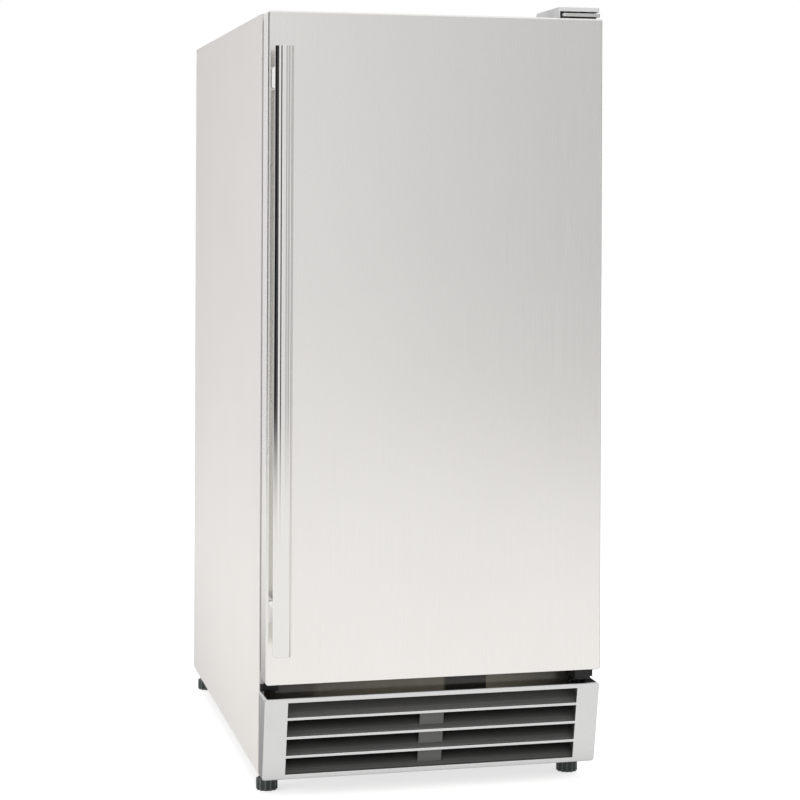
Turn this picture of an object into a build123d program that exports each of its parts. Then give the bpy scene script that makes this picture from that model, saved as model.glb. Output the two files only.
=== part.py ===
from build123d import *

import os
from math import pi, sqrt

# Compact upright refrigerator, in millimetres. X is to the right, Y to the back, Z up.
# The origin is on the floor, under the middle of the whole object's box.

os.makedirs("parts", exist_ok=True)

# Cabinet
cabinet_width = 378.0
cabinet_height = 834.0
cabinet_depth = 543.0
floor_clearance = 24.5
panel_sheet = 0.8
panel_bend = 1.5
lid_edge = 0.5
front_flange = 36.0
back_flange = 14.0
side_wall = 40.0
top_wall = 42.0
back_wall = 45.0
floor_wall = 42.0
liner_sheet = 1.5
liner_corner = 11.0
sill_lip = 4.0
sill_sheet = 1.5
sill_height = 65.0
sill_return = 15.0
sill_flange = 6.0

# Machine compartment under and behind the food compartment
pan_sheet = 1.2
pan_raise = 1.0
pan_edge = 18.0
machine_height = 100.8
deck_sheet = 1.0
hump_depth = 185.0
hump_rise = 115.0
hump_wall = 40.0
rear_cover_sheet = 1.0
rear_cover_recess = 14.0
vent_slot_length = 44.0
vent_slot_height = 5.0
vent_columns = 5
vent_rows = 9
vent_pitch_x = 58.0
vent_pitch_z = 14.0

# Door
door_height = 727.0
door_thickness = 34.0
door_gap = 12.6
door_sheet = 0.8
door_bend = 2.5
door_corner = 3.2
door_return = 12.0
gasket_handle_inset = 1.5
gasket_hinge_inset = 20.0
gasket_end_inset = 7.0
gasket_corner = 9.0
gasket_width = 15.0
gasket_clearance = 0.3
gasket_groove = 3.0
gasket_groove_start = 4.3
gasket_groove_run = 3.7
gasket_edge = 2.0
dyke_inset = 12.0
dyke_end_inset = 10.0
dyke_width = 22.0
dyke_depth = 28.0
dyke_corner = 6.0
dyke_bend = 4.0

# Handle
handle_diameter = 20.0
handle_wall = 1.5
handle_length = 645.0
handle_reach = 41.0
handle_inset = 10.2
handle_end = 2.5
top_post_inset = 32.5
bottom_post_inset = 40.5
post_width = 16.4
post_height = 29.5
post_corner = 6.0
handle_edge = 0.8
handle_screw_radius = 2.5
handle_screw_head = 3.5
handle_screw_seat = 5.0
handle_screw_thread = 1.0

# Hinges on the right side
hinge_inset_x = 19.0
hinge_inset_y = 17.0
hinge_pin_radius = 4.0
hinge_running_gap = 0.08
bush_radius = 7.0
bush_length = 24.0
pin_engagement = 20.0
pin_tip = 0.8
pin_head_height = 1.2
door_end_gap = 0.4
top_pad_thickness = 2.4
top_pad_inset = 1.5
top_plate_thickness = 4.0
top_plate_inset = 0.5
top_plate_setback = 6.0
top_plate_nose = 14.0
top_plate_tail = 39.0
top_plate_overlap = 4.0
top_plate_side_gap = 2.8
top_plate_corner = 3.5
top_plate_edge = 0.8
top_cover_inset = 2.0
top_cover_wall = 1.6
top_cover_height = 12.8
top_cover_width = 48.0
top_cover_length = 90.0
top_cover_lead = 1.0
top_cover_brow = 5.0
top_cover_slope = 7.0
top_cover_corner = 2.5
top_cover_edge = 1.0
bracket_sheet = 3.0
bracket_leaf = 3.0
bracket_width = 19.0
bracket_setback = 4.0
bracket_corner = 5.0
bracket_drop = 17.0
leaf_reach_left = 5.0
leaf_reach_right = 15.6
leaf_screw_inset = 5.2
leaf_screw_spacing = 10.2
washer_height = 7.0
washer_lead = 1.0
washer_bulge = 3.0
washer_bulge_place = 6.0
washer_back = 10.0
washer_corner = 1.2
pin_nut_radius = 5.0
pin_nut_height = 2.4
hinge_screw_radius = 2.5
hinge_screw_length = 12.0
screw_head_radius = 4.4
screw_head_height = 2.4
screw_head_edge = 0.6
screw_reach_left = 14.0
screw_reach_right = 8.0
screw_reach_back = 3.0
screw_row_front = 16.0
screw_row_back = 31.0
screw_row_sill = 8.0
spare_cover_width = 20.0
spare_cover_height = 7.0
spare_cover_thickness = 5.0
spare_cover_inset = 1.0
spare_cover_lift = 0.3
spare_cover_edge = 1.2

# Kick grille
grille_gap = 15.2
grille_height = 92.3
grille_setback_top = 3.2
grille_setback_bottom = 23.0
grille_wall = 2.5
grille_corner = 3.0
grille_edge = 1.0
grille_column = 25.3
grille_top_bar = 5.0
first_opening_height = 17.1
opening_count = 4
opening_pitch = 21.6
fin_thickness = 2.85
fin_depth = 6.0
blade_thickness = 1.6
blade_run = 17.0
blade_rise = 14.2
louvre_cheek = 2.0
louvre_web_width = 27.0
louvre_web_setback = 4.0
louvre_web_sheet = 2.0

# Shelves and racks
shelf_names = ["wire_shelf_bottom", "wire_shelf_middle", "wire_shelf_top"]
first_shelf_above_hump = 12.0
ledge_pitch = 55.0
ledges_per_shelf = 3
ledge_count = 8
ledge_reach = 9.0
ledge_height = 6.0
ledge_overrun = 4.0
shelf_side_gap = 1.5
shelf_front_gap = 30.0
shelf_back_gap = 15.0
shelf_frame_wire = 5.0
shelf_wire = 2.5
shelf_cross_wire = 4.0
shelf_wire_count = 21
shelf_corner = 20.0
shelf_cross_inset = 82.5
shelf_cross_lift = 0.1
shelf_wire_bite = 0.25
rest_gap = 0.3
rack_names = ["door_rack_bottom", "door_rack_middle", "door_rack_top"]
rack_first_height = 24.0
rack_pitch = 205.0
rack_depth = 85.0
rack_height = 62.0
rack_wall = 2.2
rack_side_gap = 4.0
rack_lug = 3.4
rack_lug_height = 8.0
rack_lug_length = 18.0
rack_lug_root = 1.0
rack_hook_drop = 34.0
rack_hook_sheet = 3.0
rack_corner = 14.0
rack_edge = 3.0

# Controls
control_width = 150.0
control_depth = 120.0
control_height = 44.0
control_setback = 36.0
control_wall = 2.0
control_corner = 8.0
control_edge = 3.0
knob_radius = 17.0
knob_height = 13.0
knob_offset = 38.0
knob_gap = 1.0
knob_skirt = 5.8
knob_step = 2.0
knob_step_radius = 14.0
knob_ridge = 6.0
knob_ridge_reach = 13.3
knob_edge = 1.0
spindle_radius = 3.0
spindle_gap = 0.08
spindle_hold = 16.0
spindle_hole_gap = 1.0
thermostat_size = 30.0
thermostat_corner = 3.0
thermostat_bore = 18.0
switch_offset = 40.0
plunger_radius = 3.5
plunger_gap = 0.1
plunger_hold = 14.0
plunger_hole_gap = 0.5
plunger_end_gap = 1.0
plunger_edge = 2.0
switch_width = 18.0
switch_depth = 26.0
switch_height = 20.0
lens_width = 62.0
lens_depth = 46.0
lens_setback = 72.0
lens_sheet = 1.8
lens_drop = 7.0
lens_gap = 0.2
lens_edge = 3.0
lamp_radius = 9.0
lamp_length = 30.0
lamp_lift = 3.0
lamp_base = 12.0
lamp_base_radius = 6.3
lamp_widest = 6.0
lamp_holder = 3.0

# Evaporator and drain
plate_width = 230.0
plate_height = 330.0
plate_thickness = 1.5
plate_standoff = 5.0
plate_below_top = 58.0
standoff_radius = 4.0
standoff_inset = 8.0
coolant_radius = 3.0
coolant_bend = 9.8
coolant_seat = 1.2
evaporator_passes = 8
evaporator_pitch = 36.0
serpentine_margin = 8.0
tail_bend = 7.0
tail_reach = 8.0
tail_stub = 2.0
drain_radius = 6.0
drain_flange = 10.0
drain_wall = 1.5
drain_offset = 40.0
drain_inset = 22.0
drain_drop = 5.0
tray_depth = 24.0
tray_wall = 1.8
tray_width = 150.0
tray_length = 120.0
tray_corner = 10.0
tray_edge = 3.0

# Compressor
compressor_radius = 68.0
compressor_height = 158.0
compressor_offset = 60.0
compressor_dome = 24.0
compressor_heel = 12.0
seam_lift = 79.0
seam_height = 5.0
seam_reach = 3.0
suction_lift = 104.3
mount_radius = 11.0
mount_height = 14.0
mount_hole = 4.0
mount_lip = 2.0
mount_lip_sheet = 1.5
mount_cap = 3.0
mount_spacing_x = 152.0
mount_spacing_y = 100.0
rail_sheet = 3.0
rail_edge = 14.0
stub_radius = 5.0
stub_length = 10.0
discharge_offset = 25.0
discharge_run = 80.0
discharge_side = 155.0

# Condenser and fan
condenser_pass = 236.0
condenser_rows = 3
condenser_columns = 5
condenser_pitch = 16.0
condenser_row_pitch = 18.0
condenser_setback = 62.0
condenser_tube_radius = 3.2
condenser_lift = 16.0
fin_count = 20
fin_sheet = 0.6
fin_margin = 9.0
fin_end_gap = 12.0
collar_wall = 0.8
condenser_inlet = 18.0
fan_setback = 126.0
shroud_width = 236.0
shroud_sheet = 2.0
shroud_gap = 1.5
cradle_wall = 3.0
cradle_depth = 8.0
cradle_setback = 12.0
fan_radius = 41.0
fan_tip_gap = 3.0
fan_hub_radius = 15.0
fan_hub_depth = 18.0
fan_blade_count = 5
fan_blade_angle = 32.0
fan_blade_sheet = 2.0
fan_blade_chord = 24.0
fan_blade_root = 2.0
fan_shaft_radius = 3.0
shaft_engagement = 18.0
shaft_end_gap = 1.0
motor_radius = 22.0
motor_length = 40.0
motor_gap = 6.0
motor_edge = 3.0
strut_width = 7.0
drier_radius = 9.0
drier_length = 90.0
drier_side_gap = 38.2
drier_setback = 90.0
drier_taper = 12.0
drier_neck = 1.0
capillary_radius = 1.2
tube_bend = 14.0
riser_side_gap = 28.2
riser_inset = 21.0

# Cord gland
gland_radius = 8.0
gland_flange = 11.0
gland_flange_sheet = 2.5
gland_nose = 5.0
gland_tail = 6.0
gland_tail_radius = 6.4
gland_taper = 8.0
gland_bore = 3.6
gland_side_gap = 68.0

# Feet
foot_radius = 12.0
foot_height = 13.0
foot_lobes = 12
foot_lobe_radius = 2.5
foot_lobe_offset = 0.6
foot_edge = 0.8
foot_inset = 14.5
foot_front_inset = 30.0
foot_back_inset = 28.0
stud_radius = 4.0
stud_length = 48.5
stud_tip = 1.0
stud_gap = 0.08
nut_radius = 8.0
nut_height = 8.0

# Places that follow from the sizes above
half_width = cabinet_width / 2
cabinet_bottom = floor_clearance
cabinet_top = cabinet_bottom + cabinet_height
handle_radius = handle_diameter / 2
overall_depth = handle_radius + handle_reach + door_thickness + door_gap + cabinet_depth
cabinet_back = overall_depth / 2
cabinet_front = cabinet_back - cabinet_depth
door_back = cabinet_front - door_gap
door_front = door_back - door_thickness
handle_y = door_front - handle_reach
handle_x = -half_width + handle_inset
door_top = cabinet_top
door_bottom = door_top - door_height
door_middle = (door_top + door_bottom) / 2
bar_low = door_middle - handle_length / 2
bar_high = bar_low + handle_length
post_places = [bar_low + bottom_post_inset, bar_high - top_post_inset]
pan_bottom = cabinet_bottom + pan_raise
pan_top = pan_bottom + pan_sheet
deck_bottom = pan_top + machine_height
deck_top = deck_bottom + deck_sheet
hump_bottom = deck_bottom + hump_rise
hump_top = hump_bottom + deck_sheet
riser_y = cabinet_back - hump_depth
cavity_half = half_width - side_wall
cavity_floor = deck_top + floor_wall
cavity_top = cabinet_top - top_wall
cavity_back = cabinet_back - back_wall
cavity_hump = cavity_floor + hump_rise
cavity_riser = riser_y - hump_wall
foam_front = cabinet_front + max(liner_sheet, sill_sheet)
foam_back = cabinet_back - 2 * panel_sheet
foam_half = half_width - panel_sheet
sill_top = cavity_floor - sill_lip
sill_bottom = sill_top - sill_height
hinge_x = half_width - hinge_inset_x
hinge_y = door_front + hinge_inset_y
leaf_left = hinge_x - leaf_reach_left
dyke_half = cavity_half - dyke_inset
dyke_low = cavity_floor + dyke_end_inset
dyke_high = cavity_top - dyke_end_inset
dyke_face = door_back + dyke_depth
rack_back = door_back + rest_gap
rack_front = rack_back + rack_depth
shelf_front = rack_front + shelf_front_gap
shelf_back = cavity_back - shelf_back_gap
first_shelf = cavity_hump + first_shelf_above_hump
control_front = cabinet_front + control_setback
control_bottom = cavity_top - control_height
grille_top = door_bottom - grille_gap
grille_bottom = grille_top - grille_height
opening_half = half_width - grille_column
opening_height = opening_pitch - fin_thickness
tube_wall_y = cabinet_back - riser_inset
riser_x = foam_half - riser_side_gap
drier_x = -foam_half + drier_side_gap
gland_x = -foam_half + gland_side_gap
compressor_y = cabinet_back - (hump_depth + rear_cover_recess) / 2
compressor_floor = pan_top + mount_height
compressor_top = compressor_floor + compressor_height
suction_z = compressor_floor + suction_lift


def block(x_from, x_to, y_from, y_to, z_from, z_to, mode=Mode.ADD):
    """Adds or cuts a box between two corners in the part being built."""
    middle = ((x_from + x_to) / 2, (y_from + y_to) / 2, (z_from + z_to) / 2)
    with Locations(middle):
        Box(abs(x_to - x_from), abs(y_to - y_from), abs(z_to - z_from), mode=mode)


def facing_front(y):
    """A sketch plane at this depth that faces the front of the object."""
    return Plane.XZ.offset(-y)


def save(piece, name):
    """Labels a finished piece and writes its file."""
    piece.label = name
    export_step(piece, f"parts/{name}.step")


def tube_along(points, radius, bend):
    """A round tube along straight runs joined by arcs, as one solid."""
    with BuildPart() as tube:
        with BuildLine() as route:
            FilletPolyline(*points, radius=bend)
        start = route.line @ 0
        with BuildSketch(Plane(origin=start, z_dir=route.line % 0)):
            Circle(radius)
        sweep(path=route.line)
    run = sum(edge.length for edge in route.edges())
    expected = pi * radius**2 * run
    print(f"tube run {run:.1f} volume {tube.part.volume:.0f} expected {expected:.0f} bend {bend}")
    return tube.part


# Side panels: a folded sheet each, with a front flange that is narrow beside the sill, and a back flange
def side_profile(side, flange):
    """The plan outline of a side panel; side is -1 on the left and 1 on the right."""
    outer = side * half_width
    inner = side * (half_width - panel_sheet)
    back_edge = side * (half_width - back_flange)
    front_edge = side * (half_width - flange)
    with BuildSketch(mode=Mode.PRIVATE) as outline:
        with BuildLine():
            back_points = [
                (outer, cabinet_front),
                (outer, cabinet_back - panel_sheet),
                (back_edge, cabinet_back - panel_sheet),
                (back_edge, foam_back),
                (inner, foam_back),
            ]
            if flange > 0:
                front_points = [
                    (inner, cabinet_front + panel_sheet),
                    (front_edge, cabinet_front + panel_sheet),
                    (front_edge, cabinet_front),
                ]
            else:
                front_points = [(inner, cabinet_front)]
            Polyline(*back_points, *front_points, close=True)
        make_face()
        if flange > 0:
            corner = outline.vertices().sort_by_distance((outer, cabinet_front))[0]
            fillet(corner, panel_bend)
    return outline.sketch


flange_levels = [
    (cabinet_bottom, sill_bottom, 0),
    (sill_bottom, sill_top, sill_flange),
    (sill_top, cabinet_top - panel_sheet, front_flange),
]
for name, side in (("side_panel_left", -1), ("side_panel_right", 1)):
    with BuildPart() as side_panel:
        for low, high, flange in flange_levels:
            with BuildSketch(Plane.XY.offset(low)):
                add(side_profile(side, flange))
            extrude(amount=high - low)
    save(side_panel.part, name)

# Top panel: a lid over the side panels, with a flange down the front
hinge_screw_places = [
    (hinge_x - screw_reach_left, cabinet_front + screw_row_front),
    (hinge_x + screw_reach_right, cabinet_front + screw_row_front),
    (hinge_x - screw_reach_back, cabinet_front + screw_row_back),
]
with BuildPart() as top_panel:
    block(-half_width, half_width, cabinet_front, cabinet_back, cabinet_top - panel_sheet, cabinet_top)
    flange_half = half_width - front_flange
    flange_back = cabinet_front + panel_sheet
    block(-flange_half, flange_half, cabinet_front, flange_back, cabinet_top - front_flange, cabinet_top)
    front_edge = top_panel.edges().filter_by(Axis.X).group_by(Axis.Z)[-1].sort_by(Axis.Y)[0]
    fillet(front_edge, lid_edge)
    with Locations(*[(x, y, cabinet_top) for x, y in hinge_screw_places]):
        Hole(hinge_screw_radius, depth=panel_sheet)
save(top_panel.part, "top_panel")

# Back panel over the insulated part, above the machine compartment
with BuildPart() as back_panel:
    back_low = hump_bottom
    back_high = cabinet_top - panel_sheet
    block(-half_width, half_width, cabinet_back - panel_sheet, cabinet_back, back_low, back_high)
save(back_panel.part, "back_panel")

# Liner body: the stepped block that the inner liner fills, kept for the liner and the foam
with BuildPart() as liner_body:
    with BuildSketch(Plane.YZ.offset(-cavity_half - liner_sheet)):
        with BuildLine():
            Polyline(
                (cabinet_front, cavity_floor - liner_sheet),
                (cavity_riser + liner_sheet, cavity_floor - liner_sheet),
                (cavity_riser + liner_sheet, cavity_hump - liner_sheet),
                (cavity_back + liner_sheet, cavity_hump - liner_sheet),
                (cavity_back + liner_sheet, cavity_top + liner_sheet),
                (cabinet_front, cavity_top + liner_sheet),
                close=True,
            )
        make_face()
    extrude(amount=2 * (cavity_half + liner_sheet))
    front_face = liner_body.faces().sort_by(Axis.Y)[0]
    back_edges = [e for e in liner_body.edges() if e not in front_face.edges()]
    fillet(back_edges, liner_corner)

# Refrigerant tubes in the back wall
plate_top = cavity_top - plate_below_top
serpentine_height = (evaporator_passes - 1) * evaporator_pitch
serpentine_top = plate_top - (plate_height - serpentine_height) / 2
serpentine_low = serpentine_top - serpentine_height
plate_back = cavity_back - plate_standoff
plate_front = plate_back - plate_thickness
serpentine_y = plate_front - coolant_seat
tail_x = plate_width / 2 + tail_reach
tail_end = cavity_back + liner_sheet + tail_stub
stub_end_x = compressor_offset + compressor_radius + stub_length
suction_points = [
    (stub_end_x, compressor_y, suction_z),
    (riser_x, compressor_y, suction_z),
    (riser_x, tube_wall_y, suction_z),
    (riser_x, tube_wall_y, serpentine_low),
    (tail_x, tube_wall_y, serpentine_low),
    (tail_x, tail_end, serpentine_low),
]
suction_tube = tube_along(suction_points, coolant_radius, coolant_bend)
save(suction_tube, "suction_tube")

condenser_front = cabinet_front + condenser_setback
condenser_low = pan_top + condenser_lift
drier_start = condenser_front + condenser_row_pitch * condenser_rows + drier_setback
drier_end = drier_start + drier_length
capillary_points = [
    (drier_x, drier_end, condenser_low),
    (drier_x, tube_wall_y, condenser_low),
    (drier_x, tube_wall_y, serpentine_top),
    (tail_x, tube_wall_y, serpentine_top),
    (tail_x, tail_end, serpentine_top),
]
capillary_tube = tube_along(capillary_points, capillary_radius, coolant_bend)
save(capillary_tube, "capillary_tube")

# Cabinet insulation, foamed between the panels and the liner
drain_x = drain_offset
drain_y = cavity_back - drain_inset
with BuildPart() as cabinet_foam:
    with BuildSketch(Plane.YZ.offset(-foam_half)):
        with BuildLine():
            Polyline(
                (foam_front, deck_top),
                (riser_y - deck_sheet, deck_top),
                (riser_y - deck_sheet, hump_top),
                (foam_back, hump_top),
                (foam_back, cabinet_top - panel_sheet),
                (foam_front, cabinet_top - panel_sheet),
                close=True,
            )
        make_face()
    extrude(amount=2 * foam_half)
    add(liner_body.part, mode=Mode.SUBTRACT)
    add(suction_tube, mode=Mode.SUBTRACT)
    add(capillary_tube, mode=Mode.SUBTRACT)
    with Locations((drain_x, drain_y, (hump_top + cavity_hump) / 2)):
        Cylinder(drain_radius, cavity_hump - hump_top + 2 * liner_sheet, mode=Mode.SUBTRACT)
    with Locations(*[(x, y, cabinet_top - panel_sheet) for x, y in hinge_screw_places]):
        Hole(hinge_screw_radius, depth=hinge_screw_length)
    for x, z in ((tail_x, serpentine_low), (tail_x, serpentine_top)):
        with BuildSketch(facing_front(tail_end)):
            with Locations((x, z)):
                Circle(coolant_radius)
        extrude(amount=tail_end - cavity_back, mode=Mode.SUBTRACT)
save(cabinet_foam.part, "cabinet_foam")

# Inner liner: one thin moulded shell with shelf ledges on both sides
ledge_front = rack_front + ledge_overrun
ledge_back = shelf_back + ledge_overrun
with BuildPart() as inner_liner:
    add(liner_body.part)
    offset(amount=-liner_sheet, openings=inner_liner.faces().sort_by(Axis.Y)[0])
    rim_half = half_width - front_flange
    with BuildSketch(facing_front(cabinet_front + liner_sheet)):
        with Locations((0, (sill_top + cabinet_top - front_flange) / 2)):
            Rectangle(2 * rim_half, cabinet_top - front_flange - sill_top)
        with Locations((0, (cavity_floor + cavity_top) / 2)):
            Rectangle(2 * cavity_half, cavity_top - cavity_floor, mode=Mode.SUBTRACT)
    extrude(amount=liner_sheet)
    for step in range(ledge_count):
        ledge_top = first_shelf + step * ledge_pitch
        for side in (-1, 1):
            wall = side * (cavity_half + liner_sheet / 2)
            tip = side * (cavity_half - ledge_reach)
            block(wall, tip, ledge_front, ledge_back, ledge_top - ledge_height, ledge_top)
    with Locations((drain_x, drain_y, cavity_hump)):
        Hole(drain_radius, depth=liner_sheet)
    for z in (serpentine_low, serpentine_top):
        with BuildSketch(facing_front(cavity_back + liner_sheet)):
            with Locations((tail_x, z)):
                Circle(coolant_radius)
        extrude(amount=liner_sheet, mode=Mode.SUBTRACT)
save(inner_liner.part, "inner_liner")

# Deck: the stepped sheet that parts the machine compartment from the insulation
with BuildPart() as compartment_deck:
    with BuildSketch(Plane.YZ.offset(-foam_half)):
        with BuildLine():
            Polyline(
                (foam_front, deck_bottom),
                (riser_y, deck_bottom),
                (riser_y, hump_bottom),
                (foam_back, hump_bottom),
                (foam_back, hump_top),
                (riser_y - deck_sheet, hump_top),
                (riser_y - deck_sheet, deck_top),
                (foam_front, deck_top),
                close=True,
            )
        make_face()
    extrude(amount=2 * foam_half)
    with Locations((drain_x, drain_y, hump_top)):
        Hole(drain_radius, depth=deck_sheet)
    with Locations((riser_x, tube_wall_y, hump_top)):
        Hole(coolant_radius, depth=deck_sheet)
    with Locations((drier_x, tube_wall_y, hump_top)):
        Hole(capillary_radius, depth=deck_sheet)
save(compartment_deck.part, "compartment_deck")

# Sill rail: the dark rail across the front, under the food compartment
bottom_screw_z = sill_bottom + screw_row_sill
bottom_screw_places = [
    (leaf_left + leaf_screw_inset, bottom_screw_z),
    (leaf_left + leaf_screw_inset + leaf_screw_spacing, bottom_screw_z),
]
rail_half = half_width - sill_flange
with BuildPart() as sill_rail:
    block(-rail_half, rail_half, cabinet_front, cabinet_front + sill_sheet, sill_bottom, sill_top)
    return_back = cabinet_front + sill_return
    block(-rail_half, rail_half, cabinet_front, return_back, sill_bottom, sill_bottom + sill_sheet)
    with BuildSketch(facing_front(cabinet_front + sill_sheet)):
        with Locations(*bottom_screw_places):
            Circle(hinge_screw_radius)
    extrude(amount=sill_sheet, mode=Mode.SUBTRACT)
save(sill_rail.part, "sill_rail")

# Base pan with turned-up edges and a threaded boss over each foot
foot_half = half_width - foot_inset
foot_front = cabinet_front + foot_front_inset
foot_back = cabinet_back - foot_back_inset
foot_places = {
    "foot_front_left": (-foot_half, foot_front),
    "foot_front_right": (foot_half, foot_front),
    "foot_rear_left": (-foot_half, foot_back),
    "foot_rear_right": (foot_half, foot_back),
}
mount_places = [
    (compressor_offset + sx * mount_spacing_x / 2, compressor_y + sy * mount_spacing_y / 2)
    for sx in (-1, 1)
    for sy in (-1, 1)
]
with BuildPart() as base_pan:
    block(-foam_half, foam_half, cabinet_front, foam_back, pan_bottom, pan_top)
    for side in (-1, 1):
        outer = side * foam_half
        block(outer, outer - side * pan_sheet, cabinet_front, foam_back, pan_bottom, pan_top + pan_edge)
    block(-foam_half, foam_half, cabinet_front, cabinet_front + pan_sheet, pan_bottom, pan_top + pan_edge / 2)
    with Locations(*[(x, y, pan_top + nut_height / 2) for x, y in foot_places.values()]):
        Cylinder(nut_radius, nut_height)
    with Locations(*[(x, y, pan_top + nut_height) for x, y in foot_places.values()]):
        Hole(stud_radius + stud_gap, depth=nut_height + pan_sheet)
    with Locations(*[(x, y, pan_top) for x, y in mount_places]):
        Hole(mount_hole, depth=pan_sheet)
save(base_pan.part, "base_pan")

# Rear cover of the machine compartment: a shallow pan with rows of vent slots
cover_face = cabinet_back - rear_cover_recess - rear_cover_sheet
cover_height = hump_bottom - pan_top
vent_middle = pan_top + cover_height / 2
with BuildPart() as rear_cover:
    block(-foam_half + pan_sheet, foam_half - pan_sheet, cover_face, foam_back, pan_top, hump_bottom)
    block(
        -foam_half + pan_sheet + rear_cover_sheet,
        foam_half - pan_sheet - rear_cover_sheet,
        cover_face + rear_cover_sheet,
        foam_back,
        pan_top + rear_cover_sheet,
        hump_bottom - rear_cover_sheet,
        mode=Mode.SUBTRACT,
    )
    with BuildSketch(facing_front(cover_face + rear_cover_sheet)):
        with Locations((0, vent_middle)):
            with GridLocations(vent_pitch_x, vent_pitch_z, vent_columns, vent_rows):
                SlotOverall(vent_slot_length, vent_slot_height)
    extrude(amount=rear_cover_sheet, mode=Mode.SUBTRACT)
    gland_z = vent_middle - vent_pitch_z * (vent_rows + 1) / 2 - vent_slot_height
    with BuildSketch(facing_front(cover_face + rear_cover_sheet)):
        with Locations((gland_x, gland_z)):
            Circle(gland_radius)
    extrude(amount=rear_cover_sheet, mode=Mode.SUBTRACT)
save(rear_cover.part, "rear_cover")

# Cord gland: the stepped bush in the rear cover that the power cord leaves through
with BuildPart() as cord_gland:
    with BuildSketch(facing_front(cover_face - gland_nose)):
        with Locations((gland_x, gland_z)):
            Circle(gland_radius)
    extrude(amount=-(rear_cover_sheet + gland_nose))
    with BuildSketch(facing_front(cover_face + rear_cover_sheet)):
        with Locations((gland_x, gland_z)):
            Circle(gland_flange)
    extrude(amount=-gland_flange_sheet)
    with BuildSketch(facing_front(cover_face + rear_cover_sheet + gland_flange_sheet)):
        with Locations((gland_x, gland_z)):
            Circle(gland_tail_radius)
    extrude(amount=-gland_tail, taper=gland_taper)
    gland_run = gland_nose + rear_cover_sheet + gland_flange_sheet + gland_tail
    with BuildSketch(facing_front(cover_face - gland_nose)):
        with Locations((gland_x, gland_z)):
            Circle(gland_bore)
    extrude(amount=-gland_run, mode=Mode.SUBTRACT)
save(cord_gland.part, "cord_gland")

# Kick grille: a leaning face with four openings, side returns and a bottom ledge
face_slope = (grille_setback_bottom - grille_setback_top) / grille_height
wall_along_y = grille_wall * sqrt(1 + face_slope**2)


def grille_face(z):
    """Depth of the grille's outer face at this height."""
    return door_front + grille_setback_top + (grille_top - z) * face_slope


first_opening_low = grille_top - grille_top_bar - first_opening_height
openings = [(first_opening_low, first_opening_height)]
openings += [(first_opening_low - step * opening_pitch, opening_height) for step in range(1, opening_count)]
with BuildPart() as kick_grille:
    with BuildSketch(Plane.YZ.offset(-half_width)):
        with BuildLine():
            Polyline(
                (grille_face(grille_top), grille_top),
                (cabinet_front, grille_top),
                (cabinet_front, grille_bottom),
                (grille_face(grille_bottom), grille_bottom),
                close=True,
            )
        make_face()
    extrude(amount=cabinet_width)
    corner_edges = kick_grille.edges().filter_by(Axis.Y)
    fillet(corner_edges, grille_corner)
    face_edges = kick_grille.faces().sort_by(Axis.Y)[0].edges()
    fillet(face_edges, grille_edge)
    ledge_z = grille_bottom + grille_wall
    above = grille_top + grille_wall
    with BuildSketch(Plane.YZ.offset(-half_width + grille_wall)):
        with BuildLine():
            Polyline(
                (grille_face(above) + wall_along_y, above),
                (cabinet_front + grille_wall, above),
                (cabinet_front + grille_wall, ledge_z),
                (grille_face(ledge_z) + wall_along_y, ledge_z),
                close=True,
            )
        make_face()
    extrude(amount=cabinet_width - 2 * grille_wall, mode=Mode.SUBTRACT)
    for low, height in openings:
        block(-opening_half, opening_half, door_front, cabinet_front, low, low + height, mode=Mode.SUBTRACT)
    for low, height in openings[:-1]:
        with BuildSketch(Plane.YZ.offset(-opening_half - grille_wall)):
            with BuildLine():
                Polyline(
                    (grille_face(low), low),
                    (grille_face(low) + fin_depth, low),
                    (grille_face(low) + fin_depth, low - fin_thickness),
                    (grille_face(low - fin_thickness), low - fin_thickness),
                    close=True,
                )
            make_face()
        extrude(amount=2 * (opening_half + grille_wall))
save(kick_grille.part, "kick_grille")

# Louvre blades behind the grille, rising to the back, held by two cheeks and a middle web
with BuildPart() as grille_louvre:
    lowest = openings[-1][0]
    highest = openings[0][0] + first_opening_height
    for low, height in openings:
        start_y = grille_face(low) + fin_depth
        start_z = low - blade_thickness / 2
        end_y = start_y + blade_run
        end_z = start_z + blade_rise
        with BuildSketch(Plane.YZ.offset(-opening_half - grille_wall)):
            with BuildLine():
                Polyline(
                    (start_y, start_z),
                    (end_y, end_z),
                    (end_y, end_z + blade_thickness),
                    (start_y, start_z + blade_thickness),
                    close=True,
                )
            make_face()
        extrude(amount=2 * (opening_half + grille_wall))
    cheek_low = lowest - blade_thickness / 2
    cheek_high = highest - fin_thickness
    for side in (-1, 1):
        cheek_x = side * (opening_half + grille_wall)
        with BuildSketch(Plane.YZ.offset(cheek_x)):
            with BuildLine():
                Polyline(
                    (grille_face(cheek_low) + wall_along_y, cheek_low),
                    (grille_face(cheek_low) + fin_depth + blade_run, cheek_low),
                    (grille_face(cheek_high) + fin_depth + blade_run, cheek_high),
                    (grille_face(cheek_high) + wall_along_y, cheek_high),
                    close=True,
                )
            make_face()
        extrude(amount=side * louvre_cheek)
    web_low = cheek_low
    web_high = openings[1][0] + opening_height
    web_front = fin_depth + louvre_web_setback
    web_back = web_front + louvre_web_sheet
    with BuildSketch(Plane.YZ.offset(-louvre_web_width / 2)):
        with BuildLine():
            Polyline(
                (grille_face(web_low) + web_front, web_low),
                (grille_face(web_low) + web_back, web_low),
                (grille_face(web_high) + web_back, web_high),
                (grille_face(web_high) + web_front, web_high),
                close=True,
            )
        make_face()
    extrude(amount=louvre_web_width)
save(grille_louvre.part, "grille_louvre")

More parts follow.
